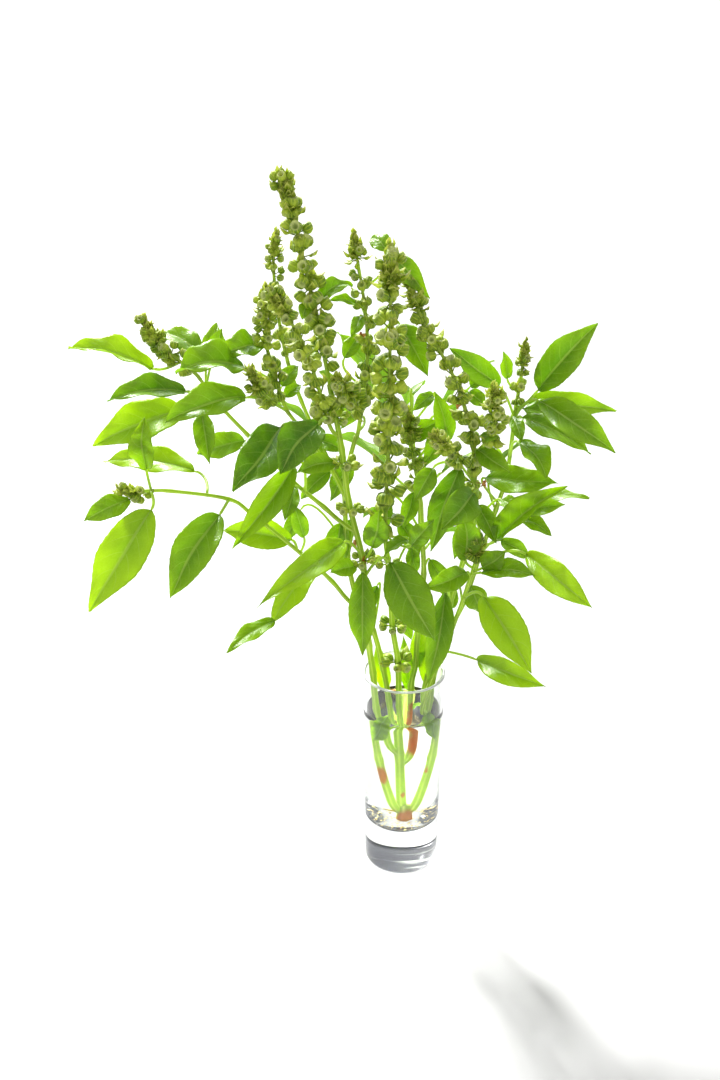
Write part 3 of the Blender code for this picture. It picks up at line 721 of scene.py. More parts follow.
# the smaller leaves: blade base, tip, width, lean, sideways turn, rise, paleness, which is partly their own
# colour and partly painted light and shade
smallLeaves = {
    "left": [
        ((-90, 10, 265), (-112, 28, 271), 13, 35, 0, 2.1, 0.5),
        ((-62, -12, 277), (-79, -22, 275), 15, 40, 0, 3.5, 0.5),
        ((-89, 15, 261), (-85, 28, 275), 9, 60, 0, 2.1, 0.5),
        ((-86, 13, 264), (-81, 8, 278), 9, 70, 0, 1.5, 0.5),
        ((-91, 2, 242), (-87, -12, 223), 11, 78, 0, 1.5, 0.5),
        ((-73, 8, 226), (-96, 16, 216), 13, 50, 0, 2.8, 0.5),
        ((-58, -46, 164), (-77, -70, 162), 9, 30, 0, 1.5, 0.5),
        ((-118, -38, 218), (-135, -54, 215), 11, 50, 0, 2.1, 0.5),
        ((-50, -14, 213), (-54, -26, 202), 8, 60, 0, 1.5, 0.5),
        ((-46, -18, 190), (-50, -22, 208), 8, 60, 0, 1.5, 0.5),
        ((-39, -10, 294), (-24, 4, 298), 9, 45, 0, 6.3, 0.5),
        ((-42, -14, 296), (-45, -20, 290), 6, 60, 0, 2.1, 0.5),
        ((-55, -4, 256), (-48, 6, 262), 8, 60, 0, 1.5, 0.5),
        ((-54, -4, 251), (-47, 4, 254), 7, 60, 0, 1.5, 0.5),
    ],
    "middle": [
        ((-32, -24, 229), (-48, -36, 229), 10, 60, 0, 2.1, 0.5),
        ((-30, 4, 187), (-35, 6, 161), 14, 62, 0, 2.8, 0.5),
        ((-23, -26, 180), (-34, -38, 183), 9, 60, 0, 2.1, 0.5),
        ((-16, -26, 189), (-13, -32, 210), 12, 64, 0, 1.5, 0.5),
        ((0, -26, 193), (-11, -36, 190), 8, 10, 0, 1.5, 0.5),
        ((1, -30, 192), (10, -42, 210), 10, 60, 0, 2.1, 0.5),
        ((2, -8, 180), (5, -12, 169), 7, 60, 0, 1.5, 0.5),
        ((-6, -8, 165), (-6, -14, 151), 8, 62, 0, 1.5, 0.5),
        ((3, 12, 91), (0, 14, 121), 8, 62, 0, 1.5, 0.5),
        ((10, -26, 227), (2, -34, 215), 10, 62, 0, 2.1, 0.5),
        ((3, -2, 205), (-2, -4, 188), 9, 62, 0, 2.1, 0.5),
        ((-10, 4, 313), (-17, 14, 316), 9, 50, 0, 2.1, 0.5),
        ((-8, 4, 311), (8, -6, 295), 10, 55, -20, 3.5, 0.5),
        ((-4, 8, 280), (8, -6, 261), 14, 62, 0, 2.1, 0.5),
        ((-21, 8, 288), (-34, -4, 294), 6, 40, 0, 2.1, 0.5),
        ((-21, 4, 285), (-25, -8, 279), 6, 60, 0, 2.8, 0.5),
        ((-28, 4, 266), (-21, 12, 275), 8, 60, 0, 1.5, 0.5),
        ((11, 6, 249), (2, -2, 244), 7, 55, 0, 1.5, 0.5),
        ((-48, 12, 230), (-38, 8, 213), 10, 60, 0, 2.5, 0.45),
        ((-25, 14, 213), (-35, 10, 195), 10, 60, 0, 2.5, 0.45),
        ((-8, 12, 195), (-16, 8, 174), 11, 60, 0, 2.5, 0.45),
        ((18, 12, 232), (8, 8, 213), 11, 60, 0, 2.5, 0.45),
        ((-35, 16, 208), (-49, 14, 194), 9, 60, 0, 2.5, 0.45),
        ((-3, 14, 184), (7, 10, 165), 10, 60, 0, 2.5, 0.45),
        ((-25, 14, 184), (-33, 12, 164), 10, 60, 0, 2.5, 0.45),
        ((12, 14, 163), (22, 10, 143), 10, 60, 0, 2.5, 0.45),
        ((-49, 14, 189), (-58, 12, 172), 8, 60, 0, 2.5, 0.45),
        ((-40, 14, 224), (-28, 10, 220), 9, 60, 0, 2.5, 0.45),
        ((2, 14, 224), (15, 12, 234), 10, 60, 0, 2.5, 0.45),
        ((30, 10, 186), (23, 8, 166), 10, 60, 0, 2.5, 0.45),
        ((-13, 10, 151), (-21, 8, 132), 8, 60, 0, 2.5, 0.45),
        ((45, 12, 174), (59, 8, 166), 9, 60, 0, 2.5, 0.45),
        ((-4, 8, 144), (4, 6, 123), 9, 60, 0, 2.5, 0.45),
        ((-21, 14, 243), (-30, 12, 230), 9, 60, 0, 2.5, 0.45),
        ((-8, 11, 91), (-13, 13, 119), 9, 60, 0, 2, 0.8),
        ((14, 11, 92), (10, 14, 121), 9, 60, 0, 2, 0.8),
        ((6, 13, 103), (8, 14, 131), 9, 60, 0, 2, 0.8),
        # under water, just below its surface
        ((-8, -4, 84), (-13, -6, 74), 9, 60, 0, 2, 0.6),
        ((12, -2, 86), (14, -8, 76), 8, 60, 0, 2, 0.6),
        ((5, 7, 84), (8, 12, 76), 8, 50, 0, 2, 0.6),
    ],
    "right": [
        ((25, -30, 185), (23, -30, 208), 13, 62, 0, 2.1, 0.5),
        ((30, -20, 207), (38, -30, 193), 10, 62, 0, 2.8, 0.5),
        ((18, -6, 231), (11, -8, 255), 10, 62, 0, 2.1, 0.5),
        ((29, -20, 233), (42, -36, 229), 10, 60, 0, 2.8, 0.5),
        ((49, -4, 230), (59, -24, 221), 14, 50, 20, 3.5, 0.5),
        ((46, 2, 240), (49, -12, 233), 7, 60, 0, 2.1, 0.5),
        ((36, 10, 207), (67, -8, 212), 14, 50, 0, 2.8, 0.5),
        ((55, 26, 189), (85, 12, 196), 10, 20, 0, 2.1, 0.5),
        ((53, 10, 187), (67, 0, 182), 8, 40, 0, 2.1, 0.5),
        ((31, 6, 153), (37, 4, 139), 12, 60, 0, 2.1, 0.5),
        ((26, -28, 178), (6, -46, 179), 12, 60, 0, 2.8, 0.5),
        ((32, -32, 182), (41, -40, 194), 11, 60, 0, 2.8, 0.5),
        ((32, -34, 181), (52, -54, 190), 12, 30, 0, 2.1, 0.5),
        ((54, 10, 190), (72, 0, 198), 10, 55, 0, 2.1, 0.5),
        ((41, -14, 207), (48, -26, 206), 8, 50, 0, 2.1, 0.5),
        ((24, 6, 152), (16, 8, 137), 9, 62, 0, 1.5, 0.5),
        ((50, -2, 241), (78, -20, 231), 14, 35, 0, 2.8, 0.5),
        ((51, 4, 243), (77, 0, 232), 14, 40, 0, 3.5, 0.5),
        ((43, 2, 257), (40, -6, 272), 6, 60, 0, 1.5, 0.5),
        ((30, -26, 242), (36, -34, 244), 6, 55, 0, 1.5, 0.5),
        ((27, 4, 253), (32, 6, 256), 6, 55, 0, 1.5, 0.5),
        ((26, 0, 252), (34, -2, 246), 8, 60, 0, 1.5, 0.5),
    ],
    "rear": [
        ((-20, 14, 236), (-40, 34, 250), 12, -50, 0, 3, 0.5),
        ((14, 20, 222), (30, 40, 236), 12, -50, 0, 3, 0.5),
        ((40, 22, 204), (60, 40, 214), 12, -45, 0, 3, 0.5),
        ((-44, 28, 226), (-66, 44, 232), 13, -50, 0, 3, 0.5),
        ((14, 22, 170), (30, 40, 164), 12, -40, 0, 3, 0.4),
        ((-6, 20, 182), (-20, 38, 174), 11, -40, 0, 3, 0.4),
    ],
}


def makeLeaves():
    for number, (name, row) in enumerate(leafRows.items()):
        store = MeshBin()
        addBlade(store, row, number, folded.get(name))
        store.piece("blade_" + name, leafMaterial, "leaf", name)
    for area, rows in smallLeaves.items():
        store = MeshBin()
        for number, row in enumerate(rows):
            addBlade(store, (nearestStem(row[0]),) + row, 100 + number)
        store.piece("small_leaves_" + area, leafMaterial, "leaf")


makeLeaves()
print("leaves ready")


def newTree(name, inputs):
    # a geometry node tree with one geometry in and out and the named inputs
    tree = bpy.data.node_groups.new(name, "GeometryNodeTree")
    tree.is_modifier = True
    for label, kind in [("Geometry", "Geometry")] + inputs:
        tree.interface.new_socket(label, in_out="INPUT", socket_type="NodeSocket" + kind)
    tree.interface.new_socket("Geometry", in_out="OUTPUT", socket_type="NodeSocketGeometry")
    return tree, tree.nodes.new("NodeGroupInput").outputs, tree.nodes.new("NodeGroupOutput").inputs


def addTree(piece, tree, values):
    # puts a tree on a piece and sets its inputs by identifier
    made = piece.modifiers.new(tree.name, "NODES")
    made.node_group = tree
    for item in tree.interface.items_tree:
        if item.in_out == "INPUT" and item.name in values:
            made[item.identifier] = values[item.name]


def randomOf(tree, low, high, seed, kind="FLOAT"):
    first, out = {"FLOAT_VECTOR": (0, 0), "FLOAT": (2, 1)}[kind]
    made = addNode(tree, "FunctionNodeRandomValue", [(first, low), (first + 1, high), (8, seed)],
                   data_type=kind)
    return made.outputs[out]


def vectorCalc(tree, operation, *values, scale=None):
    pairs = list(enumerate(values)) + ([("Scale", scale)] if scale is not None else [])
    return addNode(tree, "ShaderNodeVectorMath", pairs, operation=operation).outputs[0]


def makeWhorlTree():
    # rings of one shape, three or more, round the points of a path
    amounts = ("Reach", "Stagger", "Outward", "Upward", "Droop", "Spread", "Size")
    tree, start, end = newTree("whorls", [("Path", "Object"), ("Shape", "Object"), ("Count", "Int")] + [
        (label, "Float") for label in amounts] + [("Seed", "Int"), ("Material", "Material")])

    def stored(label, kind="FLOAT_VECTOR"):
        return addNode(tree, "GeometryNodeInputNamedAttribute", [("Name", label)], data_type=kind).outputs[0]

    source = addNode(tree, "GeometryNodeObjectInfo", [("Object", start["Path"])])
    curve = addNode(tree, "GeometryNodeMeshToCurve", [(0, source.outputs["Geometry"])])
    spots = addNode(tree, "GeometryNodeCurveToPoints", [(0, curve.outputs[0])], mode="EVALUATED")
    position = tree.nodes.new("GeometryNodeInputPosition").outputs[0]
    marked = spots.outputs["Points"]
    for label, value in (("heart", position), ("axis", spots.outputs["Tangent"])):
        marked = addNode(tree, "GeometryNodeStoreNamedAttribute", [
            (0, marked), ("Name", label), ("Value", value)], data_type="FLOAT_VECTOR").outputs[0]
    # points of no size only give the path its direction
    empty = addNode(tree, "FunctionNodeCompare", [(0, stored("whorlSize", "FLOAT")), (1, 0.01)],
                    data_type="FLOAT", operation="LESS_THAN")
    kept = addNode(tree, "GeometryNodeDeleteGeometry", [
        (0, marked), ("Selection", empty.outputs[0])], domain="POINT")
    spin = addNode(tree, "ShaderNodeCombineXYZ", [("Z", randomOf(tree, 0.0, 6.283, start["Seed"]))])
    spin = addNode(tree, "FunctionNodeEulerToRotation", [(0, spin.outputs[0])])
    turned = addNode(tree, "FunctionNodeRotateRotation", [
        (0, spots.outputs["Rotation"]), (1, spin.outputs[0])], rotation_space="LOCAL")
    ring = addNode(tree, "GeometryNodeMeshCircle", [("Vertices", start["Count"]), ("Radius", 1.0)])
    rings = addNode(tree, "GeometryNodeInstanceOnPoints", [
        (0, kept.outputs[0]), ("Instance", ring.outputs[0]), ("Rotation", turned.outputs[0]),
        ("Scale", start["Reach"])])
    level = addNode(tree, "GeometryNodeRealizeInstances", [(0, rings.outputs[0])])
    step = times(tree, randomOf(tree, -1.0, 1.0, start["Seed"]), start["Stagger"])
    places = addNode(tree, "GeometryNodeSetPosition", [
        (0, level.outputs[0]), ("Offset", vectorCalc(tree, "SCALE", stored("axis"), scale=step))])
    radial = vectorCalc(tree, "NORMALIZE", vectorCalc(tree, "SUBTRACT", position, stored("heart")))
    way = vectorCalc(tree, "SCALE", radial, scale=start["Outward"])
    jitter = randomOf(tree, (-1, -1, -1), (1, 1, 1), start["Seed"], "FLOAT_VECTOR")
    for pull, label in ((stored("axis"), "Upward"), ((0, 0, -1), "Droop"), (jitter, "Spread")):
        way = vectorCalc(tree, "ADD", way, vectorCalc(tree, "SCALE", pull, scale=start[label]))
    facing = addNode(tree, "FunctionNodeAxesToRotation", [(0, way), (1, (0, 0, 1))],
                     primary_axis="Z", secondary_axis="Y")
    size = times(tree, stored("whorlSize", "FLOAT"), start["Size"])
    size = times(tree, size, randomOf(tree, 0.84, 1.14, start["Seed"]))
    shape = addNode(tree, "GeometryNodeObjectInfo", [("Object", start["Shape"])])
    cups = addNode(tree, "GeometryNodeInstanceOnPoints", [
        (0, places.outputs[0]), ("Instance", shape.outputs["Geometry"]), ("Rotation", facing.outputs[0]),
        ("Scale", size)])
    real = addNode(tree, "GeometryNodeRealizeInstances", [(0, cups.outputs[0])])
    coated = addNode(tree, "GeometryNodeSetMaterial", [(0, real.outputs[0]), ("Material", start["Material"])])
    both = tree.nodes.new("GeometryNodeJoinGeometry")
    tree.links.new(start["Geometry"], both.inputs[0])
    tree.links.new(coated.outputs[0], both.inputs[0])
    tree.links.new(both.outputs[0], end["Geometry"])
    return tree


def makeScatterTree():
    # one small shape scattered over a surface, standing near its normal; the surface itself is dropped
    tree, start, end = newTree("scatter", [
        ("Shape", "Object"), ("Density", "Float"), ("Lean", "Float"), ("Small", "Float"),
        ("Large", "Float"), ("Seed", "Int"), ("Material", "Material")])
    spots = addNode(tree, "GeometryNodeDistributePointsOnFaces", [
        ("Mesh", start["Geometry"]), ("Density", start["Density"]), ("Seed", start["Seed"])])
    jitter = randomOf(tree, (-1, -1, -1), (1, 1, 1), start["Seed"], "FLOAT_VECTOR")
    lean = vectorCalc(tree, "SCALE", jitter, scale=start["Lean"])
    way = vectorCalc(tree, "ADD", spots.outputs["Normal"], lean)
    facing = addNode(tree, "FunctionNodeAxesToRotation", [(0, way), (1, jitter)],
                     primary_axis="Z", secondary_axis="Y")
    shape = addNode(tree, "GeometryNodeObjectInfo", [("Object", start["Shape"])])
    bits = addNode(tree, "GeometryNodeInstanceOnPoints", [
        (0, spots.outputs["Points"]), ("Instance", shape.outputs["Geometry"]),
        ("Rotation", facing.outputs[0]),
        ("Scale", randomOf(tree, start["Small"], start["Large"], start["Seed"]))])
    real = addNode(tree, "GeometryNodeRealizeInstances", [(0, bits.outputs[0])])
    coated = addNode(tree, "GeometryNodeSetMaterial", [(0, real.outputs[0]), ("Material", start["Material"])])
    tree.links.new(coated.outputs[0], end["Geometry"])
    return tree


whorlTree = makeWhorlTree()
scatterTree = makeScatterTree()


def lathe(rows, sides, lean=None):
    # rings of a turned shape from (radius, height) rows, closed at both ends, with a map round and along
    places, faces, maps = [], [], []
    turn = np.arange(sides) * 2 * math.pi / sides
    for index, (radius, height) in enumerate(rows):
        for angle in turn:
            x, y, z = radius * math.cos(angle), radius * math.sin(angle), height
            if lean is not None:
                x, y, z = lean(x, y, z, angle, index / (len(rows) - 1))
            places.append((x, y, z))
            maps.append((angle / (2 * math.pi), index / (len(rows) - 1)))
    last = len(rows) * sides
    for index in (0, len(rows) - 1):
        ring = np.array(places[index * sides:(index + 1) * sides])
        places.append(tuple(ring.mean(axis=0)))
        maps.append((0.5, float(index > 0)))
    faces += ringFaces(len(rows), sides)
    for side in range(sides):
        after = (side + 1) % sides
        faces.append((last, after, side))
        faces.append((last + 1, last - sides + side, last - sides + after))
    return places, faces, maps


def shapeObject(name, store, material):
    # a shape that the trees copy; it is removed once they are done
    return addObject(name, store.mesh(name, material))


def makeCup():
    # a seed cup whose stalk starts at the origin: a round belly, a broad upper lip, a toothed lower one
    def lip(x, y, z, angle, share):
        if 0.6 < share < 0.9:
            upper = max(0.0, math.sin(angle))
            lower = max(0.0, -math.sin(angle))
            z += 0.35 * upper ** 2 - 0.2 * lower + 0.25 * lower * (0.5 + 0.5 * math.cos(4 * angle))
            y += 0.3 * upper ** 2
        return x, y, z

    rows = [(0.26, -0.2), (0.28, 2.6), (1.45, 2.9), (2.35, 3.9), (2.50, 5.2), (1.85, 6.6), (1.45, 6.4),
            (0.45, 4.1)]
    store = MeshBin()
    store.add(*lathe(rows, 9, lip))
    return shapeObject("cupShape", store, cupMaterial)


# the scales: length, width, arch, and the share that is a bare foot
scaleSet = {"bractShape": (8.6, 3.9, 1.9, 0.40), "budShape": (3.6, 2.6, 0.5, 0.1)}


def makeBract(name, length, width, arch, foot):
    # a pointed scale, thin and closed, along its own Z; the first share of its length is a bare foot
    rows = [(0.0, 0.2), (foot, 0.3)] + [(foot + (1 - foot) * share, part) for share, part in (
        (0.25, 0.82), (0.48, 1.0), (0.75, 0.6), (1.0, 0.04))]
    places, faces, maps = [], [], []
    for side in (1, -1):
        for share, part in rows:
            for across in (-1, 0, 1):
                half = width / 2 * part
                places.append((across * half, arch * share ** 2 - abs(across) * half * 0.75 + 0.09 * side,
                               length * share))
                maps.append((across / 2 + 0.5, share))
    count = len(rows) * 3
    for r in range(len(rows) - 1):
        for c in (0, 1):
            a = r * 3 + c
            faces.append((a, a + 3, a + 4, a + 1))
            faces.append((a + count, a + 1 + count, a + 4 + count, a + 3 + count))
        for c in (0, 2):
            a = r * 3 + c
            wall = (a, a + count, a + 3 + count, a + 3)
            faces.append(wall if c == 0 else wall[::-1])
    for r in (0, len(rows) - 1):
        for c in (0, 1):
            a = r * 3 + c
            wall = (a, a + 1, a + 1 + count, a + count)
            faces.append(wall if r == 0 else wall[::-1])
    store = MeshBin()
    store.add(places, faces, maps)
    return shapeObject(name, store, cupMaterial)


def pointsObject(name, places, sizes):
    # a bare path whose points carry the size of the whorl there
    mesh = bpy.data.meshes.new(name)
    mesh.from_pydata([tuple(p * mm) for p in places], [(i, i + 1) for i in range(len(places) - 1)], [])
    mesh.attributes.new("whorlSize", "FLOAT", "POINT").data.foreach_set("value", sizes)
    return addObject(name, mesh)


def bake(piece):
    # the evaluated result as a plain mesh; the piece itself goes, with its modifiers
    bpy.context.view_layer.update()
    mesh = bpy.data.meshes.new_from_object(piece.evaluated_get(bpy.context.evaluated_depsgraph_get()))
    mesh.name = piece.name
    bpy.data.objects.remove(piece)
    for name in ("heart", "axis", "whorlSize"):
        if name in mesh.attributes:
            mesh.attributes.remove(mesh.attributes[name])
    mesh.shade_smooth()
    return mesh


def whorlPlaces(name):
    # the rings close up toward the tip
    look = spikeSet
    whorls, size, points = look[name]
    whorls = max(1, round(whorls * look["crowding"]))
    path = smoothPath(points, 0.5)
    last = len(path) - 1
    chance = np.random.default_rng(len(name) * 31 + whorls)
    jitter = look["jitter"]
    shares = [((index + 0.5 + chance.uniform(-jitter, jitter)) / (whorls + look["endGap"])) ** look["closing"]
              for index in range(whorls)]
    # the path's end follows as a point of no size, so that one whorl alone still has a direction
    places = [path[round(share * last)] for share in shares] + [path[-1]]
    return places, [size * (1 - look["shrink"] * share ** 3) for share in shares] + [0.0]


def tipPlaces(name):
    # close rings of buds up the last few millimetres
    look = spikeSet
    size, points = look[name][1:]
    path = smoothPath(points, 0.5)
    reach, kept = 0.0, [path[-1]]
    for ahead, behind in zip(path[::-1], path[-2::-1]):
        reach += (ahead - behind).length
        if reach > look["tipLength"] * size:
            break
        kept.append(behind)
    kept = kept[::-1]
    rings = look["tipRings"]
    places = [kept[round(share * (len(kept) - 1))] for share in np.linspace(0, look["tipShare"], rings)]
    return places, [size * (1 - look["tipShrink"] * share) for share in np.linspace(0, 1, rings)]


headMeshes = []
axisPlaces = [place for table, names in ((spikeSet, spikeNames), (stemSet, stemNames)) for name in names
              for place in fullPath(name, table[name][2], 1.0)]


def nearestAxis(place):
    # the point of any stem or spike closest to a place
    return min(axisPlaces, key=lambda point: (point - Vector(place)).length).copy()


# each ring: count, reach and stagger in millimetres, pull outward, up and down, spread, size
ringSet = {
    "cups": (7, 0.3, 1.3, 1.0, 0.0, 0.36, 0.42, 1.083),
    "bracts": (3, 0.3, 1.0, 1.0, 0.5, 0.0, 0.4, 1.0),
    "tipBuds": (8, 0.15, 0.7, 0.85, 0.7, 0.0, 0.35, 1.45),
    "tipBracts": (3, 0.15, 0.7, 1.0, 0.75, 0.0, 0.45, 1.0),
    "loneCups": (6, 0.9, 0.0, 1.0, 0.1, 0.1, 0.25, 0.9),
    "loneBracts": (3, 0.9, 0.0, 1.0, 0.2, 0.1, 0.4, 0.9),
}
# single whorls lower down on the leafy stems
loneWhorls = [(-3, 0, 115), (-6, -8, 140), (-8.5, -15, 176), (-20, -22, 181), (-26, -22, 206),
              (-28.5, -22, 228), (-32, -20, 248)]


def addRings(piece, kind, path, shape, material, seed):
    count, reach, stagger, outward, upward, droop, spread, size = ringSet[kind]
    addTree(piece, whorlTree, {
        "Path": path, "Shape": shape, "Count": count, "Reach": reach * mm, "Stagger": stagger * mm,
        "Outward": outward, "Upward": upward, "Droop": droop, "Spread": spread, "Size": size,
        "Seed": seed, "Material": material})


def makeSpikes():
    look = spikeSet
    cup = makeCup()
    bract, bud = [makeBract(name, *size) for name, size in scaleSet.items()]
    helpers = [cup, bract, bud]
    for number, name in enumerate(spikeNames):
        path = fullPath(name, look[name][2], 1.5)
        store = MeshBin()
        addTube(store, path, np.linspace(look["neckRadius"], look["tipRadius"], len(path)), 10, grooves=0.06)
        piece = addObject("rachis_" + name, store.mesh("rachis_" + name, stemMaterial))
        rings = pointsObject("rings_" + name, *whorlPlaces(name))
        tips = pointsObject("tips_" + name, *tipPlaces(name))
        helpers += [rings, tips]
        addRings(piece, "cups", rings, cup, cupMaterial, 11 + number)
        addRings(piece, "bracts", rings, bract, budMaterial, 11 + number)
        addRings(piece, "tipBuds", tips, bud, budMaterial, 11 + number)
        addRings(piece, "tipBracts", tips, bract, budMaterial, 11 + number)
        mesh = bake(piece)
        headMeshes.append(mesh)
        nodes = (name,) if name.startswith("spike_") else ()
        addPiece("flower_" + name, mesh, "spike", *nodes)
    store = MeshBin()
    addTube(store, smoothPath([(-3, 0, 114), (-3, 0, 116)], 1.0), 1.4, 8)
    piece = addObject("lone", store.mesh("lone", stemMaterial))
    for number, place in enumerate(loneWhorls):
        place = nearestAxis(place)
        sizes = [1.1 if number == 0 else 0.9, 0.0]
        ring = pointsObject("lone%d" % number, [place, place + Vector((0, 0, 1.2))], sizes)
        helpers.append(ring)
        addRings(piece, "loneCups", ring, cup, cupMaterial, 40 + number)
        addRings(piece, "loneBracts", ring, bract, budMaterial, 60 + number)
    addPiece("lone_whorls", bake(piece), "spike")
    for helper in helpers:
        bpy.data.objects.remove(helper)


makeSpikes()
print("flower spikes ready")


glassSet = {
    "height": 110.0, "baseRadius": 18.5, "rimRadius": 20.0, "wall": 1.6, "floorThick": 25.0, "rimRound": 0.8,
    "waterLevel": 89.0, "meniscus": 0.9, "sides": 128,
}


def innerRadius(height):
    look = glassSet
    flare = (look["rimRadius"] - look["baseRadius"]) * height / look["height"]
    return look["baseRadius"] - look["wall"] + flare


def makeGlass():
    look = glassSet
    top, base, rim = look["height"], look["baseRadius"], look["rimRadius"]
    half, floor = look["wall"] / 2, look["floorThick"]
    rows = [(1.0, 0.7), (base - 4.0, 0.6), (base - 2.4, 0.0), (base - 1.2, 0.15), (base - 0.3, 0.8),
            (base, 2.0)]
    rows += [(base + (rim - base) * h / top, h) for h in np.linspace(8, top - 1.0, 16)]
    rows += [(rim - half + half * math.cos(a), top - look["rimRound"] + look["rimRound"] * math.sin(a))
             for a in np.linspace(0.1, math.pi - 0.1, 10)]
    rows += [(innerRadius(h), h) for h in np.linspace(top - 1.2, floor + 6, 16)]
    foot = innerRadius(floor)
    rows += [(foot - 0.2, floor + 4.0), (foot - 1.0, floor + 1.8), (foot - 2.6, floor + 0.5),
             (foot - 5.0, floor), (1.0, floor - 0.1)]
    store = MeshBin()
    store.add(*lathe(rows, look["sides"]))
    mesh = store.mesh("clear_glass", glassMaterial)
    mesh.materials.append(rimHighlightMaterial)
    mesh.materials.append(footReflectionMaterial)
    for face in mesh.polygons:
        height = face.center.z / mm
        # the lip takes the painted highlight material
        if height > top - look["rimRound"] * 0.9:
            face.material_index = 1
        # the underside takes the painted reflection material
        elif height < 0.7:
            face.material_index = 2
    addPiece("clear_glass", mesh, "glass", "glass")


def makeWater():
    # the water runs a hair into the wall, and creeps up it at its edge
    look = glassSet
    level, floor, creep = look["waterLevel"], look["floorThick"], look["meniscus"]
    foot, edge = innerRadius(floor), innerRadius(level)
    rows = [(1.0, floor - 0.14), (foot - 5.0, floor - 0.04), (foot - 2.56, floor + 0.46),
            (foot - 0.96, floor + 1.78), (foot - 0.16, floor + 3.98)]
    rows += [(innerRadius(h) + 0.04, h) for h in np.linspace(floor + 6, level + creep, 20)]
    rows += [(edge - d, level + creep * math.exp(-d / 0.8)) for d in (0.2, 0.5, 1.0, 1.8, 3.0, 5.0)]
    rows += [(edge * 0.4, level), (1.0, level)]
    store = MeshBin()
    store.add(*lathe(rows, look["sides"]))
    store.piece("still_water", waterMaterial, "water", "water")


makeGlass()
makeWater()
print("glass and water ready")


bitSet = {
    "hairLength": 0.9, "hairsPerSquareMetre": 350000.0, "cupHairsPerSquareMetre": 130000.0,
    "flakesPerSquareMetre": 130000.0, "bareBelow": 112, "petalLength": 1.3, "petalReach": 6.0,
}
# the last dried petals caught in the spikes
petalPlaces = [(-41.0, -17, 299), (-20.5, 3, 277), (14, -10, 268), (20, -17, 251), (22, -20, 229),
               (33, -20, 217), (-24, -23, 190)]


def scatterPiece(name, ground, shape, slot, material, **values):
    piece = addObject(name + "_ground", ground)
    addTree(piece, scatterTree, dict(values, Shape=shape, Material=material))
    mesh = bake(piece)
    mesh.name = name
    addPiece(name, mesh, slot)


def makeHairs(hair):
    look = bitSet
    bark = MeshBin()
    for name in stemNames[1:]:
        points = [p for p in stemSet[name][2] if p[2] > look["bareBelow"]]
        if len(points) > 1:
            share = np.linspace(stemSet[name][0], stemSet[name][1], 2)
            path = smoothPath(points, 4.0)
            addTube(bark, path, np.linspace(share.mean(), share[1], len(path)) * 0.95, 8)
    for name in spikeNames:
        addTube(bark, smoothPath(spikeSet[name][2], 3.0), spikeSet["neckRadius"] * 0.9, 6)
    scatterPiece("fine_hairs", bark.mesh("bark", stemMaterial), hair, "stem", hairMaterial,
                 Density=look["hairsPerSquareMetre"], Lean=0.35, Small=0.5, Large=1.0, Seed=5)
    heads = bmesh.new()
    for mesh in headMeshes:
        heads.from_mesh(mesh)
    skins = bpy.data.meshes.new("heads")
    heads.to_mesh(skins)
    heads.free()
    scatterPiece("cup_hairs", skins, hair, "spike", hairMaterial,
                 Density=look["cupHairsPerSquareMetre"], Lean=0.5, Small=0.4, Large=0.85, Seed=6)


def makeSediment(flake):
    bed = MeshBin()
    bed.add(*lathe([(13.5, 24.95), (13.5, 25.2)], 24))
    scatterPiece("sediment", bed.mesh("bed", stemMaterial), flake, "spike", siltMaterial,
                 Density=bitSet["flakesPerSquareMetre"], Lean=0.2, Small=0.5, Large=1.2, Seed=9)


def makePetals():
    look = bitSet
    dried = MeshBin()
    hint = (0.31, 0.52, 0.79)
    for number, place in enumerate(petalPlaces):
        place = Vector(place)
        foot = nearestAxis(place)
        place = foot + (place - foot).normalized() * min((place - foot).length, look["petalReach"])
        addTube(dried, [foot.lerp(place, share) for share in (0, 0.5, 1)], [0.18, 0.16, 0.3], 6, hint=hint)
        chance = np.random.default_rng(60 + number)
        for count in range(4):
            way = Vector(chance.normal(size=3)).normalized() * look["petalLength"]
            path = [place, place + way * 0.8 + Vector((0, 0, 0.2)), place + way * 1.6 - Vector((0, 0, 0.3))]
            addTube(dried, path, [0.3, 0.6, 0.12], 6, hint=hint)
    dried.piece("dried_petals", dryMaterial, "spike")


def flakeBend(x, y, z, angle, share):
    return x * (1 + 0.4 * math.cos(2 * angle)), y, z + 0.05 * x


def makeBits():
    hairStore, flakeStore = MeshBin(), MeshBin()
    hairStore.add(*lathe([(0.045, -0.1), (0.008, bitSet["hairLength"])], 3))
    flakeStore.add(*lathe([(0.2, -0.12), (0.55, 0.0), (0.25, 0.16)], 5, flakeBend))
    hair = shapeObject("hairShape", hairStore, hairMaterial)
    flake = shapeObject("flakeShape", flakeStore, siltMaterial)
    makeHairs(hair)
    makeSediment(flake)
    makePetals()
    for shape in (hair, flake):
        bpy.data.objects.remove(shape)


makeBits()
print("hairs, dried petals and sediment ready")


stageSet = {
    "lens": 43.59, "cameraPlace": (-0.0212, -0.5403, 0.4443), "cameraPitch": 63.94,
    "floorSize": 60.0, "floorColor": (0.455, 0.455, 0.447, 1), "floorRough": 0.6,
    "roomLight": 0.85, "backdrop": 1.05,
    "sunStrength": 7.3, "sunSoftness": 6.0, "sunWay": (0.263, -0.539, -0.50),
    "panelSize": (1.2, 0.8), "panelPlace": (-0.3, 1.1, 0.95), "panelPower": 30.0,
}


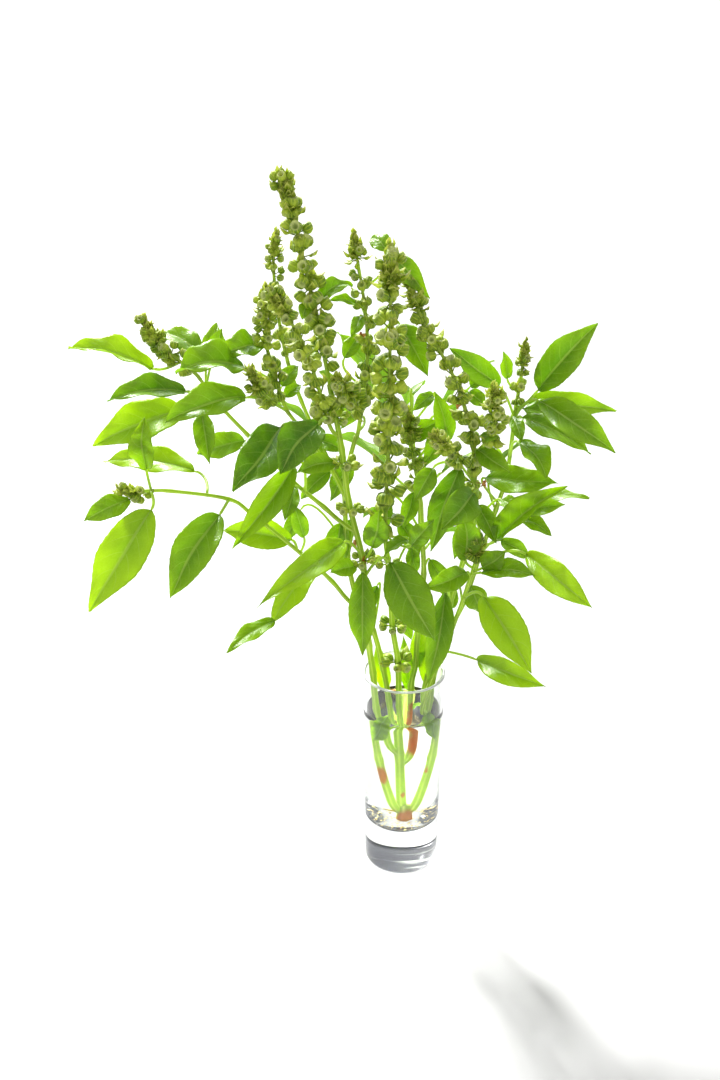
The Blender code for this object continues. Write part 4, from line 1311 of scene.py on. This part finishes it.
def makeFloor():
    look = stageSet
    mesh = bpy.data.meshes.new("floor")
    reach = look["floorSize"] / 2
    mesh.from_pydata([(-reach, -reach, 0), (reach, -reach, 0), (reach, reach, 0), (-reach, reach, 0)], [],
                     [(0, 1, 2, 3)])
    made, tree = newMaterial("paleFloor")
    finishSkin(tree, [("Base Color", look["floorColor"]), ("Roughness", look["floorRough"])])
    mesh.materials.append(made)
    floor = addObject("floor", mesh)


def makeLights():
    look = stageSet
    world = bpy.data.worlds.new("studio")
    world.use_nodes = True
    tree = world.node_tree
    # the backdrop itself is pure white, while the light it gives is softer
    ray = tree.nodes.new("ShaderNodeLightPath")
    level = ramp(tree, ray.outputs["Is Camera Ray"], 0.0, 1.0, look["roomLight"], look["backdrop"])
    tree.nodes["Background"].inputs[0].default_value = (1, 1, 1, 1)
    tree.links.new(level, tree.nodes["Background"].inputs[1])
    bpy.context.scene.world = world
    lamp = bpy.data.lights.new("windowLight", "SUN")
    lamp.energy = look["sunStrength"]
    lamp.angle = math.radians(look["sunSoftness"])
    sun = addObject("windowLight", lamp)
    sun.rotation_euler = Vector(look["sunWay"]).to_track_quat("-Z", "Y").to_euler()
    panel = bpy.data.lights.new("softPanel", "AREA")
    panel.shape = "RECTANGLE"
    panel.size, panel.size_y = look["panelSize"]
    panel.energy = look["panelPower"]
    glare = addObject("softPanel", panel)
    glare.location = look["panelPlace"]
    glare.rotation_euler = (-Vector(look["panelPlace"])).to_track_quat("-Z", "Y").to_euler()
    glare.visible_diffuse = glare.visible_transmission = glare.visible_camera = False


def makeCamera():
    look = stageSet
    camera = bpy.data.cameras.new("camera")
    camera.lens = look["lens"]
    camera.sensor_width = 36
    camera.clip_start = 0.01
    viewer = addObject("camera", camera)
    viewer.location = look["cameraPlace"]
    viewer.rotation_euler = (math.radians(look["cameraPitch"]), 0, 0)
    bpy.context.scene.camera = viewer
    bpy.context.scene.view_settings.view_transform = "Standard"


makeFloor()
makeLights()
makeCamera()
print("floor, lights and camera ready")
